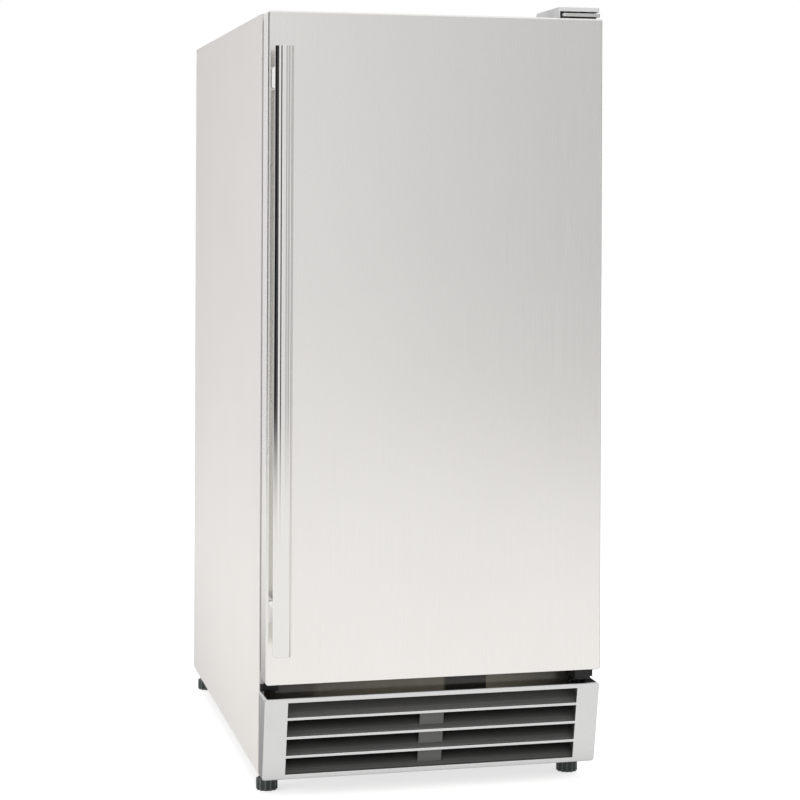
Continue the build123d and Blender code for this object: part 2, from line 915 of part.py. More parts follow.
# Top hinge: a nylon pad, a thick plate over it, and a thin cover over both
pad_top = cabinet_top + top_pad_thickness
plate_top_z = pad_top + top_plate_thickness
cover_right = half_width - top_cover_inset
cover_left = cover_right - top_cover_width
nose_right = half_width - top_plate_inset
tail_right = cover_right - top_cover_wall - rest_gap
plate_left = cover_left + top_cover_wall + top_plate_side_gap
plate_front_y = door_front + top_plate_setback
nose_back_y = plate_front_y + top_plate_nose
plate_tail_y = cabinet_front + top_plate_tail
with BuildPart() as top_hinge_pad:
    pad_left = cover_left + top_cover_wall + rest_gap
    pad_right = tail_right - top_pad_inset
    block(pad_left, pad_right, plate_front_y + top_pad_inset, plate_tail_y, cabinet_top, pad_top)
    relief_top = cabinet_top + door_end_gap
    block(pad_left, pad_right, door_front, cabinet_front, cabinet_top, relief_top, mode=Mode.SUBTRACT)
    with Locations((hinge_x, hinge_y, pad_top)):
        Hole(hinge_pin_radius, depth=top_pad_thickness)
    with Locations(*[(x, y, pad_top) for x, y in hinge_screw_places]):
        Hole(hinge_screw_radius, depth=top_pad_thickness)
save(top_hinge_pad.part, "top_hinge_pad")

with BuildPart() as top_hinge_plate:
    block(plate_left, nose_right, plate_front_y, nose_back_y, pad_top, plate_top_z)
    fillet(top_hinge_plate.edges().filter_by(Axis.Z), top_plate_corner)
    block(plate_left, tail_right, nose_back_y - top_plate_overlap, plate_tail_y, pad_top, plate_top_z)
    fillet(top_hinge_plate.faces().sort_by(Axis.Z)[-1].edges(), top_plate_edge)
    with Locations((hinge_x, hinge_y, plate_top_z)):
        Hole(hinge_pin_radius, depth=top_plate_thickness)
    with Locations(*[(x, y, plate_top_z) for x, y in hinge_screw_places]):
        Hole(hinge_screw_radius, depth=top_plate_thickness)
save(top_hinge_plate.part, "top_hinge_plate")

# Top hinge cover: open at the front below its brow, so that the plate's nose shows
cover_top = cabinet_top + top_cover_height
cover_front_y = plate_front_y - top_cover_lead
cover_back_y = cover_front_y + top_cover_length
brow_low = cover_top - top_cover_brow
with BuildPart() as top_hinge_cover:
    block(cover_left, cover_right, cover_front_y, cover_back_y, cabinet_top + door_end_gap, cover_top)
    back_top = top_hinge_cover.edges().filter_by(Axis.X).group_by(Axis.Z)[-1].sort_by(Axis.Y)[-1]
    chamfer(back_top, top_cover_slope, top_cover_slope)
    fillet(top_hinge_cover.edges().filter_by(Axis.Z), top_cover_corner)
    fillet(top_hinge_cover.faces().filter_by(Axis.Z).sort_by(Axis.Z)[-1].edges(), top_cover_edge)
    hollow_left = cover_left + top_cover_wall
    hollow_right = cover_right - top_cover_wall
    hollow_front = cover_front_y + top_cover_wall
    hollow_back = cover_back_y - top_cover_slope - top_cover_wall
    hollow_top = cover_top - top_cover_wall
    block(hollow_left, hollow_right, hollow_front, hollow_back, cabinet_top, hollow_top, mode=Mode.SUBTRACT)
    mouth_back = nose_back_y + rest_gap
    block(hollow_left, cover_right, cover_front_y, mouth_back, cabinet_top, brow_low, mode=Mode.SUBTRACT)
save(top_hinge_cover.part, "top_hinge_cover")

# Bottom hinge: a black bracket on the sill rail with a nylon washer block that the door turns on
washer_top = door_bottom - door_end_gap
washer_bottom = washer_top - washer_height
arm_bottom = washer_bottom - bracket_sheet
arm_front = door_front + bracket_setback
arm_left = hinge_x - bracket_width / 2
arm_right = hinge_x + bracket_width / 2
leaf_right = hinge_x + leaf_reach_right
leaf_front = cabinet_front - bracket_leaf
leaf_bottom = arm_bottom - bracket_drop
with BuildPart() as bottom_hinge_bracket:
    block(arm_left, arm_right, arm_front, cabinet_front, arm_bottom, washer_bottom)
    fillet(bottom_hinge_bracket.edges().filter_by(Axis.Z).group_by(Axis.Y)[0], bracket_corner)
    block(leaf_left, leaf_right, leaf_front, cabinet_front, leaf_bottom, washer_bottom)
    with Locations((hinge_x, hinge_y, washer_bottom)):
        Hole(hinge_pin_radius, depth=bracket_sheet)
    with BuildSketch(facing_front(cabinet_front)):
        with Locations(*bottom_screw_places):
            Circle(hinge_screw_radius)
    extrude(amount=bracket_leaf, mode=Mode.SUBTRACT)
save(bottom_hinge_bracket.part, "bottom_hinge_bracket")

with BuildPart() as bottom_hinge_washer:
    with BuildSketch(Plane.XY.offset(washer_bottom)):
        washer_front = arm_front - washer_lead
        washer_right = arm_right + washer_lead
        with BuildLine():
            Polyline(
                (arm_left, washer_front),
                (washer_right, washer_front),
                (arm_right + washer_bulge, arm_front + washer_bulge_place),
                (washer_right, hinge_y + washer_back),
                (arm_left, hinge_y + washer_back),
                close=True,
            )
        make_face()
    extrude(amount=washer_height)
    fillet(bottom_hinge_washer.edges().filter_by(Axis.Z), washer_corner)
    with Locations((hinge_x, hinge_y, washer_top)):
        Hole(hinge_pin_radius, depth=washer_height)
save(bottom_hinge_washer.part, "bottom_hinge_washer")

# Hinge pins: the upper one hangs from the plate, the lower one stands on the bracket
with BuildPart() as hinge_pins:
    upper_low = door_top - pin_engagement
    lower_high = door_bottom + pin_engagement
    with BuildSketch(Plane.XY.offset(upper_low)):
        with Locations((hinge_x, hinge_y)):
            Circle(hinge_pin_radius)
    extrude(amount=plate_top_z - upper_low)
    with BuildSketch(Plane.XY.offset(plate_top_z)):
        with Locations((hinge_x, hinge_y)):
            Circle(pin_nut_radius)
    extrude(amount=pin_head_height)
    with BuildSketch(Plane.XY.offset(arm_bottom)):
        with Locations((hinge_x, hinge_y)):
            Circle(hinge_pin_radius)
    extrude(amount=lower_high - arm_bottom)
    with BuildSketch(Plane.XY.offset(arm_bottom - pin_nut_height)):
        with Locations((hinge_x, hinge_y)):
            RegularPolygon(pin_nut_radius, 6)
    extrude(amount=pin_nut_height)
    for tip_z in (upper_low, lower_high):
        tip = hinge_pins.faces().sort_by_distance((hinge_x, hinge_y, tip_z))[0]
        chamfer(tip.edges(), pin_tip)
save(hinge_pins.part, "hinge_pins")

# Hinge screws: three down through the plate, two into the sill rail
with BuildPart() as hinge_screws:
    for x, y in hinge_screw_places:
        with BuildSketch(Plane.XY.offset(plate_top_z)):
            with Locations((x, y)):
                Circle(screw_head_radius)
        extrude(amount=screw_head_height)
        with BuildSketch(Plane.XY.offset(plate_top_z)):
            with Locations((x, y)):
                Circle(hinge_screw_radius)
        extrude(amount=-(top_plate_thickness + top_pad_thickness + hinge_screw_length))
    for x, z in bottom_screw_places:
        with BuildSketch(facing_front(cabinet_front - bracket_leaf)):
            with Locations((x, z)):
                Circle(screw_head_radius)
        extrude(amount=screw_head_height)
        with BuildSketch(facing_front(cabinet_front - bracket_leaf)):
            with Locations((x, z)):
                Circle(hinge_screw_radius)
        extrude(amount=-hinge_screw_length)
    chamfer(hinge_screws.faces().filter_by(Axis.Z).group_by(Axis.Z)[-1].edges(), screw_head_edge)
save(hinge_screws.part, "hinge_screws")

# Small black cover over the unused hinge holes on the left of the sill rail
with BuildPart() as spare_hinge_cover:
    spare_left = -half_width + spare_cover_inset
    spare_bottom = grille_top + spare_cover_lift
    block(
        spare_left,
        spare_left + spare_cover_width,
        cabinet_front - spare_cover_thickness,
        cabinet_front,
        spare_bottom,
        spare_bottom + spare_cover_height,
    )
    fillet(spare_hinge_cover.faces().sort_by(Axis.Y)[0].edges(), spare_cover_edge)
save(spare_hinge_cover.part, "spare_hinge_cover")


def door_block(inset, back):
    """The door's rounded block as far as this depth, drawn in by an inset at the front and sides."""
    with BuildPart() as form:
        side = half_width - inset
        block(-side, side, door_front + inset, back, door_bottom + inset, door_top - inset)
        fillet(form.edges().filter_by(Axis.Y), door_corner - inset)
        fillet(form.faces().sort_by(Axis.Y)[0].edges(), door_bend - inset)
    return form.part


# Door skin: front and four sides folded from one sheet, with a narrow return at the back
with BuildPart() as door_skin:
    add(door_block(0, door_back))
    add(door_block(door_sheet, door_back - door_sheet), mode=Mode.SUBTRACT)
    open_half = half_width - door_return
    open_low = door_bottom + door_return
    open_high = door_top - door_return
    block(-open_half, open_half, door_back - door_sheet, door_back, open_low, open_high, mode=Mode.SUBTRACT)
    with Locations((hinge_x, hinge_y, door_top)):
        Hole(bush_radius, depth=door_sheet)
    with Locations((hinge_x, hinge_y, door_bottom + door_sheet)):
        Hole(bush_radius, depth=door_sheet)
    with BuildSketch(facing_front(door_front + door_sheet)):
        with Locations(*[(handle_x, z) for z in post_places]):
            Circle(handle_screw_radius)
    extrude(amount=door_sheet, mode=Mode.SUBTRACT)
save(door_skin.part, "door_skin")

# Door liner: a moulded sheet with a raised, hollow ring that reaches into the cabinet
ring_middle = (dyke_low + dyke_high) / 2
ring_height = dyke_high - dyke_low


def ring_outline(y, margin):
    """The ring's outline at this depth, drawn in by a margin on both sides."""
    with BuildSketch(facing_front(y)) as ring:
        with Locations((0, ring_middle)):
            RectangleRounded(2 * (dyke_half - margin), ring_height - 2 * margin, 2 * dyke_corner - margin)
            RectangleRounded(
                2 * (dyke_half - dyke_width + margin),
                ring_height - 2 * (dyke_width - margin),
                dyke_corner + margin,
                mode=Mode.SUBTRACT,
            )
    return ring.sketch


with BuildPart() as door_liner:
    with BuildSketch(facing_front(door_back)):
        with Locations((0, door_middle)):
            Rectangle(2 * open_half, open_high - open_low)
    extrude(amount=liner_sheet)
    extrude(ring_outline(door_back, 0), amount=-dyke_depth)
    ring_top = door_liner.faces().filter_by(Axis.Y).sort_by(Axis.Y)[-1]
    fillet(ring_top.edges(), dyke_bend)
    hollow = ring_outline(dyke_face - liner_sheet, dyke_bend)
    extrude(hollow, amount=dyke_depth + liner_sheet, mode=Mode.SUBTRACT)
    for rack in range(len(rack_names)):
        lug_z = dyke_low + rack_first_height + rack * rack_pitch + rack_hook_drop
        for side in (-1, 1):
            wall = side * (dyke_half - dyke_width + rack_lug_root)
            tip = side * (dyke_half - dyke_width - rack_lug)
            block(wall, tip, door_back, door_back + rack_lug_length, lug_z, lug_z + rack_lug_height)
save(door_liner.part, "door_liner")

# Door insulation, between the skin and the door liner and inside its ring
with BuildPart() as door_foam:
    add(door_block(door_sheet, door_back - liner_sheet))
    extrude(ring_outline(dyke_face - liner_sheet, dyke_bend), amount=dyke_depth)
    with Locations((hinge_x, hinge_y, door_top - door_sheet)):
        Hole(bush_radius, depth=bush_length - door_sheet)
    with Locations((hinge_x, hinge_y, door_bottom + bush_length)):
        Hole(bush_radius, depth=bush_length)
    with BuildSketch(facing_front(door_front + door_sheet + handle_screw_seat)):
        with Locations(*[(handle_x, z) for z in post_places]):
            Circle(screw_head_radius)
    extrude(amount=handle_screw_seat, mode=Mode.SUBTRACT)
save(door_foam.part, "door_foam")

# Door gasket: a soft ring with a groove around its outer side, just clear of the cabinet
gasket_left = -half_width + gasket_handle_inset
gasket_right = half_width - gasket_hinge_inset
gasket_middle = (gasket_left + gasket_right) / 2
gasket_wide = gasket_right - gasket_left
gasket_high = door_height - 2 * gasket_end_inset
gasket_thickness = door_gap - gasket_clearance


def gasket_ring(y, width):
    """The gasket's ring at this depth, as wide as given from its outer edge."""
    with BuildSketch(facing_front(y)) as ring:
        with Locations((gasket_middle, door_middle)):
            RectangleRounded(gasket_wide, gasket_high, gasket_corner)
            Rectangle(gasket_wide - 2 * width, gasket_high - 2 * width, mode=Mode.SUBTRACT)
    return ring.sketch


with BuildPart() as door_gasket:
    extrude(gasket_ring(door_back, gasket_width), amount=-gasket_thickness)
    groove = gasket_ring(door_back + gasket_groove_start, gasket_groove)
    extrude(groove, amount=-gasket_groove_run, mode=Mode.SUBTRACT)
    contact_face = door_gasket.faces().filter_by(Axis.Y).sort_by(Axis.Y)[-1]
    fillet(contact_face.edges(), gasket_edge)
save(door_gasket.part, "door_gasket")

# Door bushes: one at each end of the hinge side, that the hinge pins turn in
with BuildPart() as door_bushes:
    for low in (door_bottom, door_top - bush_length):
        with BuildSketch(Plane.XY.offset(low)):
            with Locations((hinge_x, hinge_y)):
                Circle(bush_radius)
                Circle(hinge_pin_radius + hinge_running_gap, mode=Mode.SUBTRACT)
        extrude(amount=bush_length)
save(door_bushes.part, "door_bushes")

# Handle: a capped tube on two oblong posts, screwed from inside the door
with BuildPart() as handle_bar:
    with BuildSketch(Plane.XY.offset(bar_low)):
        with Locations((handle_x, handle_y)):
            Circle(handle_radius)
    extrude(amount=handle_length)
    fillet(handle_bar.edges().filter_by(GeomType.CIRCLE), handle_edge)
    with BuildSketch(Plane.XY.offset(bar_low + handle_end)):
        with Locations((handle_x, handle_y)):
            Circle(handle_radius - handle_wall)
    extrude(amount=handle_length - 2 * handle_end, mode=Mode.SUBTRACT)
    with BuildSketch(facing_front(handle_y + handle_radius)):
        with Locations(*[(handle_x, z) for z in post_places]):
            Circle(handle_screw_radius)
    extrude(amount=handle_radius, mode=Mode.SUBTRACT)
save(handle_bar.part, "handle_bar")

with BuildPart() as handle_posts:
    with BuildSketch(facing_front(door_front)):
        with Locations(*[(handle_x, z) for z in post_places]):
            RectangleRounded(post_width, post_height, post_corner)
            Circle(handle_screw_radius, mode=Mode.SUBTRACT)
    extrude(amount=handle_reach)
    with Locations((handle_x, handle_y, door_middle)):
        Cylinder(handle_radius, handle_length, mode=Mode.SUBTRACT)
save(handle_posts.part, "handle_posts")

with BuildPart() as handle_screws:
    screw_run = door_sheet + handle_reach - handle_radius + handle_wall + handle_screw_thread
    with BuildSketch(facing_front(door_front + door_sheet)):
        with Locations(*[(handle_x, z) for z in post_places]):
            Circle(handle_screw_radius)
    extrude(amount=screw_run)
    with BuildSketch(facing_front(door_front + door_sheet)):
        with Locations(*[(handle_x, z) for z in post_places]):
            Circle(screw_head_radius)
    extrude(amount=-handle_screw_head)
save(handle_screws.part, "handle_screws")

# Door racks: open-topped bins that hang on the lugs of the door liner
rack_half = dyke_half - dyke_width - rack_side_gap
for step, name in enumerate(rack_names):
    rack_floor = dyke_low + rack_first_height + step * rack_pitch
    hook_low = rack_floor + rack_hook_drop + rack_lug_height + rest_gap
    with BuildPart() as door_rack:
        block(-rack_half, rack_half, rack_back, rack_front, rack_floor, rack_floor + rack_height)
        fillet(door_rack.edges().filter_by(Axis.Z).group_by(Axis.Y)[-1], rack_corner)
        fillet(door_rack.faces().sort_by(Axis.Z)[0].edges().group_by(Axis.Y)[-1], rack_edge)
        with BuildSketch(Plane.XY.offset(rack_floor + rack_wall)):
            with Locations((0, (rack_back + rack_front) / 2)):
                hollow = Rectangle(2 * (rack_half - rack_wall), rack_depth - 2 * rack_wall)
            fillet(hollow.vertices().group_by(Axis.Y)[-1], rack_corner - rack_wall)
        extrude(amount=rack_height, mode=Mode.SUBTRACT)
        for side in (-1, 1):
            root_x = side * (rack_half - rack_wall)
            tip_x = side * (dyke_half - dyke_width - rest_gap)
            block(root_x, tip_x, rack_back, rack_back + rack_lug_length, hook_low, hook_low + rack_hook_sheet)
    save(door_rack.part, name)

# Wire shelves: a frame of thick wire, cross wires, and thin wires along the depth
shelf_half = cavity_half - shelf_side_gap - shelf_frame_wire / 2
frame_radius = shelf_frame_wire / 2
shelf_middle_y = (shelf_front + shelf_back) / 2
frame_depth = shelf_back - shelf_front - shelf_frame_wire
for step, name in enumerate(shelf_names):
    frame_z = first_shelf + step * ledges_per_shelf * ledge_pitch + rest_gap + frame_radius
    cross_z = frame_z - frame_radius + shelf_cross_wire / 2 + shelf_cross_lift
    wire_z = cross_z + (shelf_cross_wire + shelf_wire) / 2 - shelf_wire_bite
    with BuildPart() as wire_shelf:
        with BuildSketch(Plane.XY.offset(frame_z), mode=Mode.PRIVATE) as frame_outline:
            with Locations((0, shelf_middle_y)):
                RectangleRounded(2 * shelf_half, frame_depth, shelf_corner)
        frame_path = frame_outline.sketch.face().outer_wire()
        with BuildSketch(Plane(origin=frame_path @ 0, z_dir=frame_path % 0)):
            Circle(frame_radius)
        sweep(path=frame_path)
        for side in (-1, 1):
            cross_y = shelf_middle_y + side * (frame_depth / 2 - shelf_cross_inset)
            with Locations(Location((0, cross_y, cross_z), (0, 90, 0))):
                Cylinder(shelf_cross_wire / 2, 2 * shelf_half)
        spacing = 2 * (shelf_half - frame_radius) / (shelf_wire_count + 1)
        for wire in range(shelf_wire_count):
            wire_x = (wire - (shelf_wire_count - 1) / 2) * spacing
            corner_cut = max(0, abs(wire_x) - (shelf_half - shelf_corner))
            shorter = shelf_corner - sqrt(shelf_corner**2 - corner_cut**2)
            with Locations(Location((wire_x, shelf_middle_y, wire_z), (90, 0, 0))):
                Cylinder(shelf_wire / 2, frame_depth - 2 * shorter)
    save(wire_shelf.part, name)

# Control housing on the ceiling, open upwards, with holes for the knob, plunger and lamp lens
knob_z = control_bottom + control_height / 2
switch_z = dyke_high - dyke_width / 2
lens_y = control_front + lens_setback
with BuildPart() as control_housing:
    control_half = control_width / 2
    control_back = control_front + control_depth
    block(-control_half, control_half, control_front, control_back, control_bottom, cavity_top)
    fillet(control_housing.edges().filter_by(Axis.Z), control_corner)
    fillet(control_housing.faces().sort_by(Axis.Z)[0].edges(), control_edge)
    block(
        -control_half + control_wall,
        control_half - control_wall,
        control_front + control_wall,
        control_back - control_wall,
        control_bottom + control_wall,
        cavity_top,
        mode=Mode.SUBTRACT,
    )
    with BuildSketch(facing_front(control_front + control_wall)):
        with Locations((knob_offset, knob_z)):
            Circle(spindle_radius + spindle_hole_gap)
        with Locations((-switch_offset, switch_z)):
            Circle(plunger_radius + plunger_hole_gap)
    extrude(amount=control_wall, mode=Mode.SUBTRACT)
    lens_half = lens_width / 2
    block(
        -lens_half,
        lens_half,
        lens_y - lens_depth / 2,
        lens_y + lens_depth / 2,
        control_bottom,
        control_bottom + control_wall,
        mode=Mode.SUBTRACT,
    )
save(control_housing.part, "control_housing")

# Thermostat body behind the knob, with a bore for the knob's spindle
thermostat_front = control_front + control_wall
with BuildPart() as thermostat_body:
    thermostat_half = thermostat_size / 2
    thermostat_back = thermostat_front + thermostat_size
    block(
        knob_offset - thermostat_half,
        knob_offset + thermostat_half,
        thermostat_front,
        thermostat_back,
        knob_z - thermostat_half,
        knob_z + thermostat_half,
    )
    fillet(thermostat_body.edges().filter_by(Axis.Y), thermostat_corner)
    with BuildSketch(facing_front(thermostat_front + thermostat_bore)):
        with Locations((knob_offset, knob_z)):
            Circle(spindle_radius + spindle_gap)
    extrude(amount=thermostat_bore, mode=Mode.SUBTRACT)
save(thermostat_body.part, "thermostat_body")

# Thermostat knob with its spindle and a pointer ridge
knob_back = control_front - knob_gap
with BuildPart() as thermostat_knob:
    with BuildSketch(facing_front(knob_back)):
        with Locations((knob_offset, knob_z)):
            Circle(knob_radius)
    extrude(amount=knob_skirt)
    with BuildSketch(facing_front(knob_back - knob_skirt)):
        with Locations((knob_offset, knob_z)):
            Circle(knob_step_radius)
    extrude(amount=knob_step)
    block(
        knob_offset - knob_ridge / 2,
        knob_offset + knob_ridge / 2,
        knob_back - knob_height,
        knob_back - knob_skirt,
        knob_z - knob_ridge_reach,
        knob_z + knob_ridge_reach,
    )
    fillet(thermostat_knob.faces().sort_by(Axis.Y)[0].edges(), knob_edge)
    with BuildSketch(facing_front(knob_back)):
        with Locations((knob_offset, knob_z)):
            Circle(spindle_radius)
    extrude(amount=-(control_wall + spindle_hold))
save(thermostat_knob.part, "thermostat_knob")

# Door switch: a body inside the housing and a plunger that the door's ring holds in
plunger_front = dyke_face + rest_gap
plunger_back = control_front + control_wall + plunger_hold
with BuildPart() as door_switch_body:
    body_front = control_front + control_wall
    body_back = body_front + switch_depth
    block(
        -switch_offset - switch_width / 2,
        -switch_offset + switch_width / 2,
        body_front,
        body_back,
        switch_z - switch_height / 2,
        switch_z + switch_height / 2,
    )
    with BuildSketch(facing_front(plunger_back + plunger_end_gap)):
        with Locations((-switch_offset, switch_z)):
            Circle(plunger_radius + plunger_gap)
    extrude(amount=plunger_hold + plunger_end_gap, mode=Mode.SUBTRACT)
save(door_switch_body.part, "door_switch_body")

with BuildPart() as door_switch_plunger:
    with BuildSketch(facing_front(plunger_back)):
        with Locations((-switch_offset, switch_z)):
            Circle(plunger_radius)
    extrude(amount=plunger_back - plunger_front)
    fillet(door_switch_plunger.faces().sort_by(Axis.Y)[0].edges(), plunger_edge)
save(door_switch_plunger.part, "door_switch_plunger")

# Lamp and its lens in the floor of the control housing
with BuildPart() as lamp_lens:
    lens_low = control_bottom - lens_drop
    lens_x = lens_width / 2 - lens_gap
    lens_half_depth = lens_depth / 2 - lens_gap
    lens_top = control_bottom + control_wall
    block(-lens_x, lens_x, lens_y - lens_half_depth, lens_y + lens_half_depth, lens_low, lens_top)
    fillet(lamp_lens.faces().sort_by(Axis.Z)[0].edges(), lens_edge)
    block(
        -lens_x + lens_sheet,
        lens_x - lens_sheet,
        lens_y - lens_half_depth + lens_sheet,
        lens_y + lens_half_depth - lens_sheet,
        lens_low + lens_sheet,
        lens_top,
        mode=Mode.SUBTRACT,
    )
save(lamp_lens.part, "lamp_lens")

lamp_z = lens_top + lamp_radius + lamp_lift
with BuildPart() as lamp:
    lamp_start = -lamp_length / 2
    lamp_neck = (lamp_start + lamp_base, lamp_z + lamp_base_radius)
    lamp_tip = (lamp_length / 2, lamp_z)
    with BuildSketch(facing_front(lens_y)):
        with BuildLine():
            Polyline(lamp_tip, (lamp_start, lamp_z), (lamp_start, lamp_z + lamp_base_radius), lamp_neck)
            Spline(lamp_neck, (lamp_widest, lamp_z + lamp_radius), lamp_tip, tangents=[(2, 1), (0, -1)])
        make_face()
    revolve(axis=Axis((0, lens_y, lamp_z), (1, 0, 0)))
    block(
        lamp_start - lamp_holder,
        lamp_start,
        lens_y - lamp_radius,
        lens_y + lamp_radius,
        lamp_z - lamp_radius,
        cavity_top,
    )
save(lamp.part, "lamp")

# Evaporator: a plate on four stand-offs with one serpentine tube bonded to its front
evaporator_half = plate_width / 2
turn_x = evaporator_half - serpentine_margin - coolant_radius - evaporator_pitch / 2
with BuildPart() as evaporator_plate:
    with BuildLine() as serpentine:
        bend_end = tail_x - tail_bend
        Line((tail_x, tail_end, serpentine_top), (tail_x, serpentine_y + tail_bend, serpentine_top))
        TangentArc(
            (tail_x, serpentine_y + tail_bend, serpentine_top),
            (bend_end, serpentine_y, serpentine_top),
            tangent=(0, -1, 0),
        )
        for step in range(evaporator_passes):
            pass_z = serpentine_top - step * evaporator_pitch
            side = -1 if step % 2 == 0 else 1
            pass_start = bend_end if step == 0 else -side * turn_x
            pass_end = bend_end if step == evaporator_passes - 1 else side * turn_x
            Line((pass_start, serpentine_y, pass_z), (pass_end, serpentine_y, pass_z))
            if step < evaporator_passes - 1:
                TangentArc(
                    (pass_end, serpentine_y, pass_z),
                    (pass_end, serpentine_y, pass_z - evaporator_pitch),
                    tangent=(side, 0, 0),
                )
        TangentArc(
            (bend_end, serpentine_y, serpentine_low),
            (tail_x, serpentine_y + tail_bend, serpentine_low),
            tangent=(1, 0, 0),
        )
        Line((tail_x, serpentine_y + tail_bend, serpentine_low), (tail_x, tail_end, serpentine_low))
    with BuildSketch(facing_front(tail_end)):
        with Locations((tail_x, serpentine_top)):
            Circle(coolant_radius)
    sweep(path=serpentine.line)
    low = plate_top - plate_height
    block(-evaporator_half, evaporator_half, plate_front, plate_back, low, plate_top)
    with BuildSketch(facing_front(cavity_back)):
        with Locations((0, plate_top - plate_height / 2)):
            with GridLocations(plate_width - 2 * standoff_inset, plate_height - 2 * standoff_inset, 2, 2):
                Circle(standoff_radius)
    extrude(amount=plate_standoff)
print(f"evaporator bends {evaporator_pitch / 2} and {tail_bend}, gap {evaporator_pitch - 2 * coolant_radius}")
save(evaporator_plate.part, "evaporator_plate")

# Drain tube from the liner's step down into the drip tray
tray_floor = compressor_top
drain_low = tray_floor + tray_wall + drain_drop
with BuildPart() as drain_tube:
    with BuildSketch(Plane.XY.offset(cavity_hump)):
        with Locations((drain_x, drain_y)):
            Circle(drain_flange)
    extrude(amount=drain_wall)
    with BuildSketch(Plane.XY.offset(cavity_hump)):
        with Locations((drain_x, drain_y)):
            Circle(drain_radius)
    extrude(amount=drain_low - cavity_hump)
    with Locations((drain_x, drain_y, cavity_hump + drain_wall)):
        Hole(drain_radius - drain_wall, depth=cavity_hump + drain_wall - drain_low)
save(drain_tube.part, "drain_tube")

# Drip tray on top of the compressor, whose warmth dries the water
with BuildPart() as drip_tray:
    with Locations((compressor_offset, compressor_y, tray_floor + tray_depth / 2)):
        Box(tray_width, tray_length, tray_depth)
    fillet(drip_tray.edges().filter_by(Axis.Z), tray_corner)
    fillet(drip_tray.faces().sort_by(Axis.Z)[0].edges(), tray_edge)
    with BuildSketch(Plane.XY.offset(tray_floor + tray_wall)):
        with Locations((compressor_offset, compressor_y)):
            RectangleRounded(tray_width - 2 * tray_wall, tray_length - 2 * tray_wall, tray_corner - tray_wall)
    extrude(amount=tray_depth, mode=Mode.SUBTRACT)
save(drip_tray.part, "drip_tray")

# Compressor: a welded shell on a foot plate, with one tube stub on its right and one in front
rail_top = compressor_floor + rail_sheet
discharge_x = compressor_offset + discharge_offset
condenser_top = condenser_low + (condenser_columns - 1) * condenser_pitch
stub_front = compressor_y - compressor_radius - stub_length
with BuildPart() as compressor:
    with BuildSketch(Plane.XY.offset(rail_top)):
        with Locations((compressor_offset, compressor_y)):
            Circle(compressor_radius)
    extrude(amount=compressor_height - rail_sheet)
    fillet(compressor.edges().sort_by(Axis.Z)[-1], compressor_dome)
    fillet(compressor.edges().sort_by(Axis.Z)[0], compressor_heel)
    with BuildSketch(Plane.XY.offset(rail_top + seam_lift)):
        with Locations((compressor_offset, compressor_y)):
            Circle(compressor_radius + seam_reach)
    extrude(amount=seam_height)
    with BuildSketch(Plane.YZ.offset(compressor_offset)):
        with Locations((compressor_y, suction_z)):
            Circle(stub_radius)
    extrude(amount=stub_end_x - compressor_offset)
    with BuildSketch(facing_front(compressor_y)):
        with Locations((discharge_x, condenser_top)):
            Circle(stub_radius)
    extrude(amount=compressor_y - stub_front)
    with BuildSketch(Plane.XY.offset(compressor_floor)):
        with Locations((compressor_offset, compressor_y)):
            RectangleRounded(mount_spacing_x + 2 * rail_edge, mount_spacing_y + 2 * rail_edge, rail_edge)
    extrude(amount=rail_sheet)
    with Locations(*[(x, y, rail_top) for x, y in mount_places]):
        Hole(mount_hole, depth=rail_sheet)
save(compressor.part, "compressor")

# Rubber mounts of the compressor, snapped through the base pan and the foot plate
with BuildPart() as compressor_mounts:
    mount_parts = [
        (pan_bottom - mount_lip_sheet, pan_bottom, mount_hole + mount_lip),
        (pan_bottom, pan_top, mount_hole),
        (pan_top, compressor_floor, mount_radius),
        (compressor_floor, rail_top, mount_hole),
        (rail_top, rail_top + mount_cap, mount_hole + mount_cap),
    ]
    for low, high, radius in mount_parts:
        with BuildSketch(Plane.XY.offset(low)):
            with Locations(*mount_places):
                Circle(radius)
        extrude(amount=high - low)
save(compressor_mounts.part, "compressor_mounts")

# Condenser: one unbroken tube in three rows of five passes, from the discharge side to the drier
pass_half = condenser_pass / 2
inlet_x = pass_half + condenser_inlet
condenser_back = condenser_front + (condenser_rows - 1) * condenser_row_pitch
pass_places = []
for row in range(condenser_rows):
    row_y = condenser_back - row * condenser_row_pitch
    heights = [condenser_low + column * condenser_pitch for column in range(condenser_columns)]
    if row % 2 == 0:
        heights.reverse()
    pass_places += [(row_y, z) for z in heights]
last_pass = len(pass_places) - 1
with BuildPart() as condenser_tube:
    with BuildLine() as condenser_route:
        for step, (pass_y, pass_z) in enumerate(pass_places):
            side = -1 if step % 2 == 0 else 1
            pass_start = inlet_x if step == 0 else -side * pass_half
            pass_end = drier_x + tube_bend if step == last_pass else side * pass_half
            Line((pass_start, pass_y, pass_z), (pass_end, pass_y, pass_z))
            if step < last_pass:
                next_y, next_z = pass_places[step + 1]
                TangentArc((pass_end, pass_y, pass_z), (pass_end, next_y, next_z), tangent=(side, 0, 0))
        leg_y = pass_places[-1][0]
        TangentArc(
            (drier_x + tube_bend, leg_y, condenser_low),
            (drier_x, leg_y + tube_bend, condenser_low),
            tangent=(-1, 0, 0),
        )
        Line((drier_x, leg_y + tube_bend, condenser_low), (drier_x, drier_start, condenser_low))
    with BuildSketch(Plane(origin=(inlet_x, condenser_back, condenser_top), z_dir=(-1, 0, 0))):
        Circle(condenser_tube_radius)
    sweep(path=condenser_route.line)
condenser_gap = condenser_pitch - 2 * condenser_tube_radius
condenser_bends = (condenser_pitch / 2, condenser_row_pitch / 2, tube_bend)
print(f"condenser bends {condenser_bends}, gap {condenser_gap:.1f}")
save(condenser_tube.part, "condenser_tube")

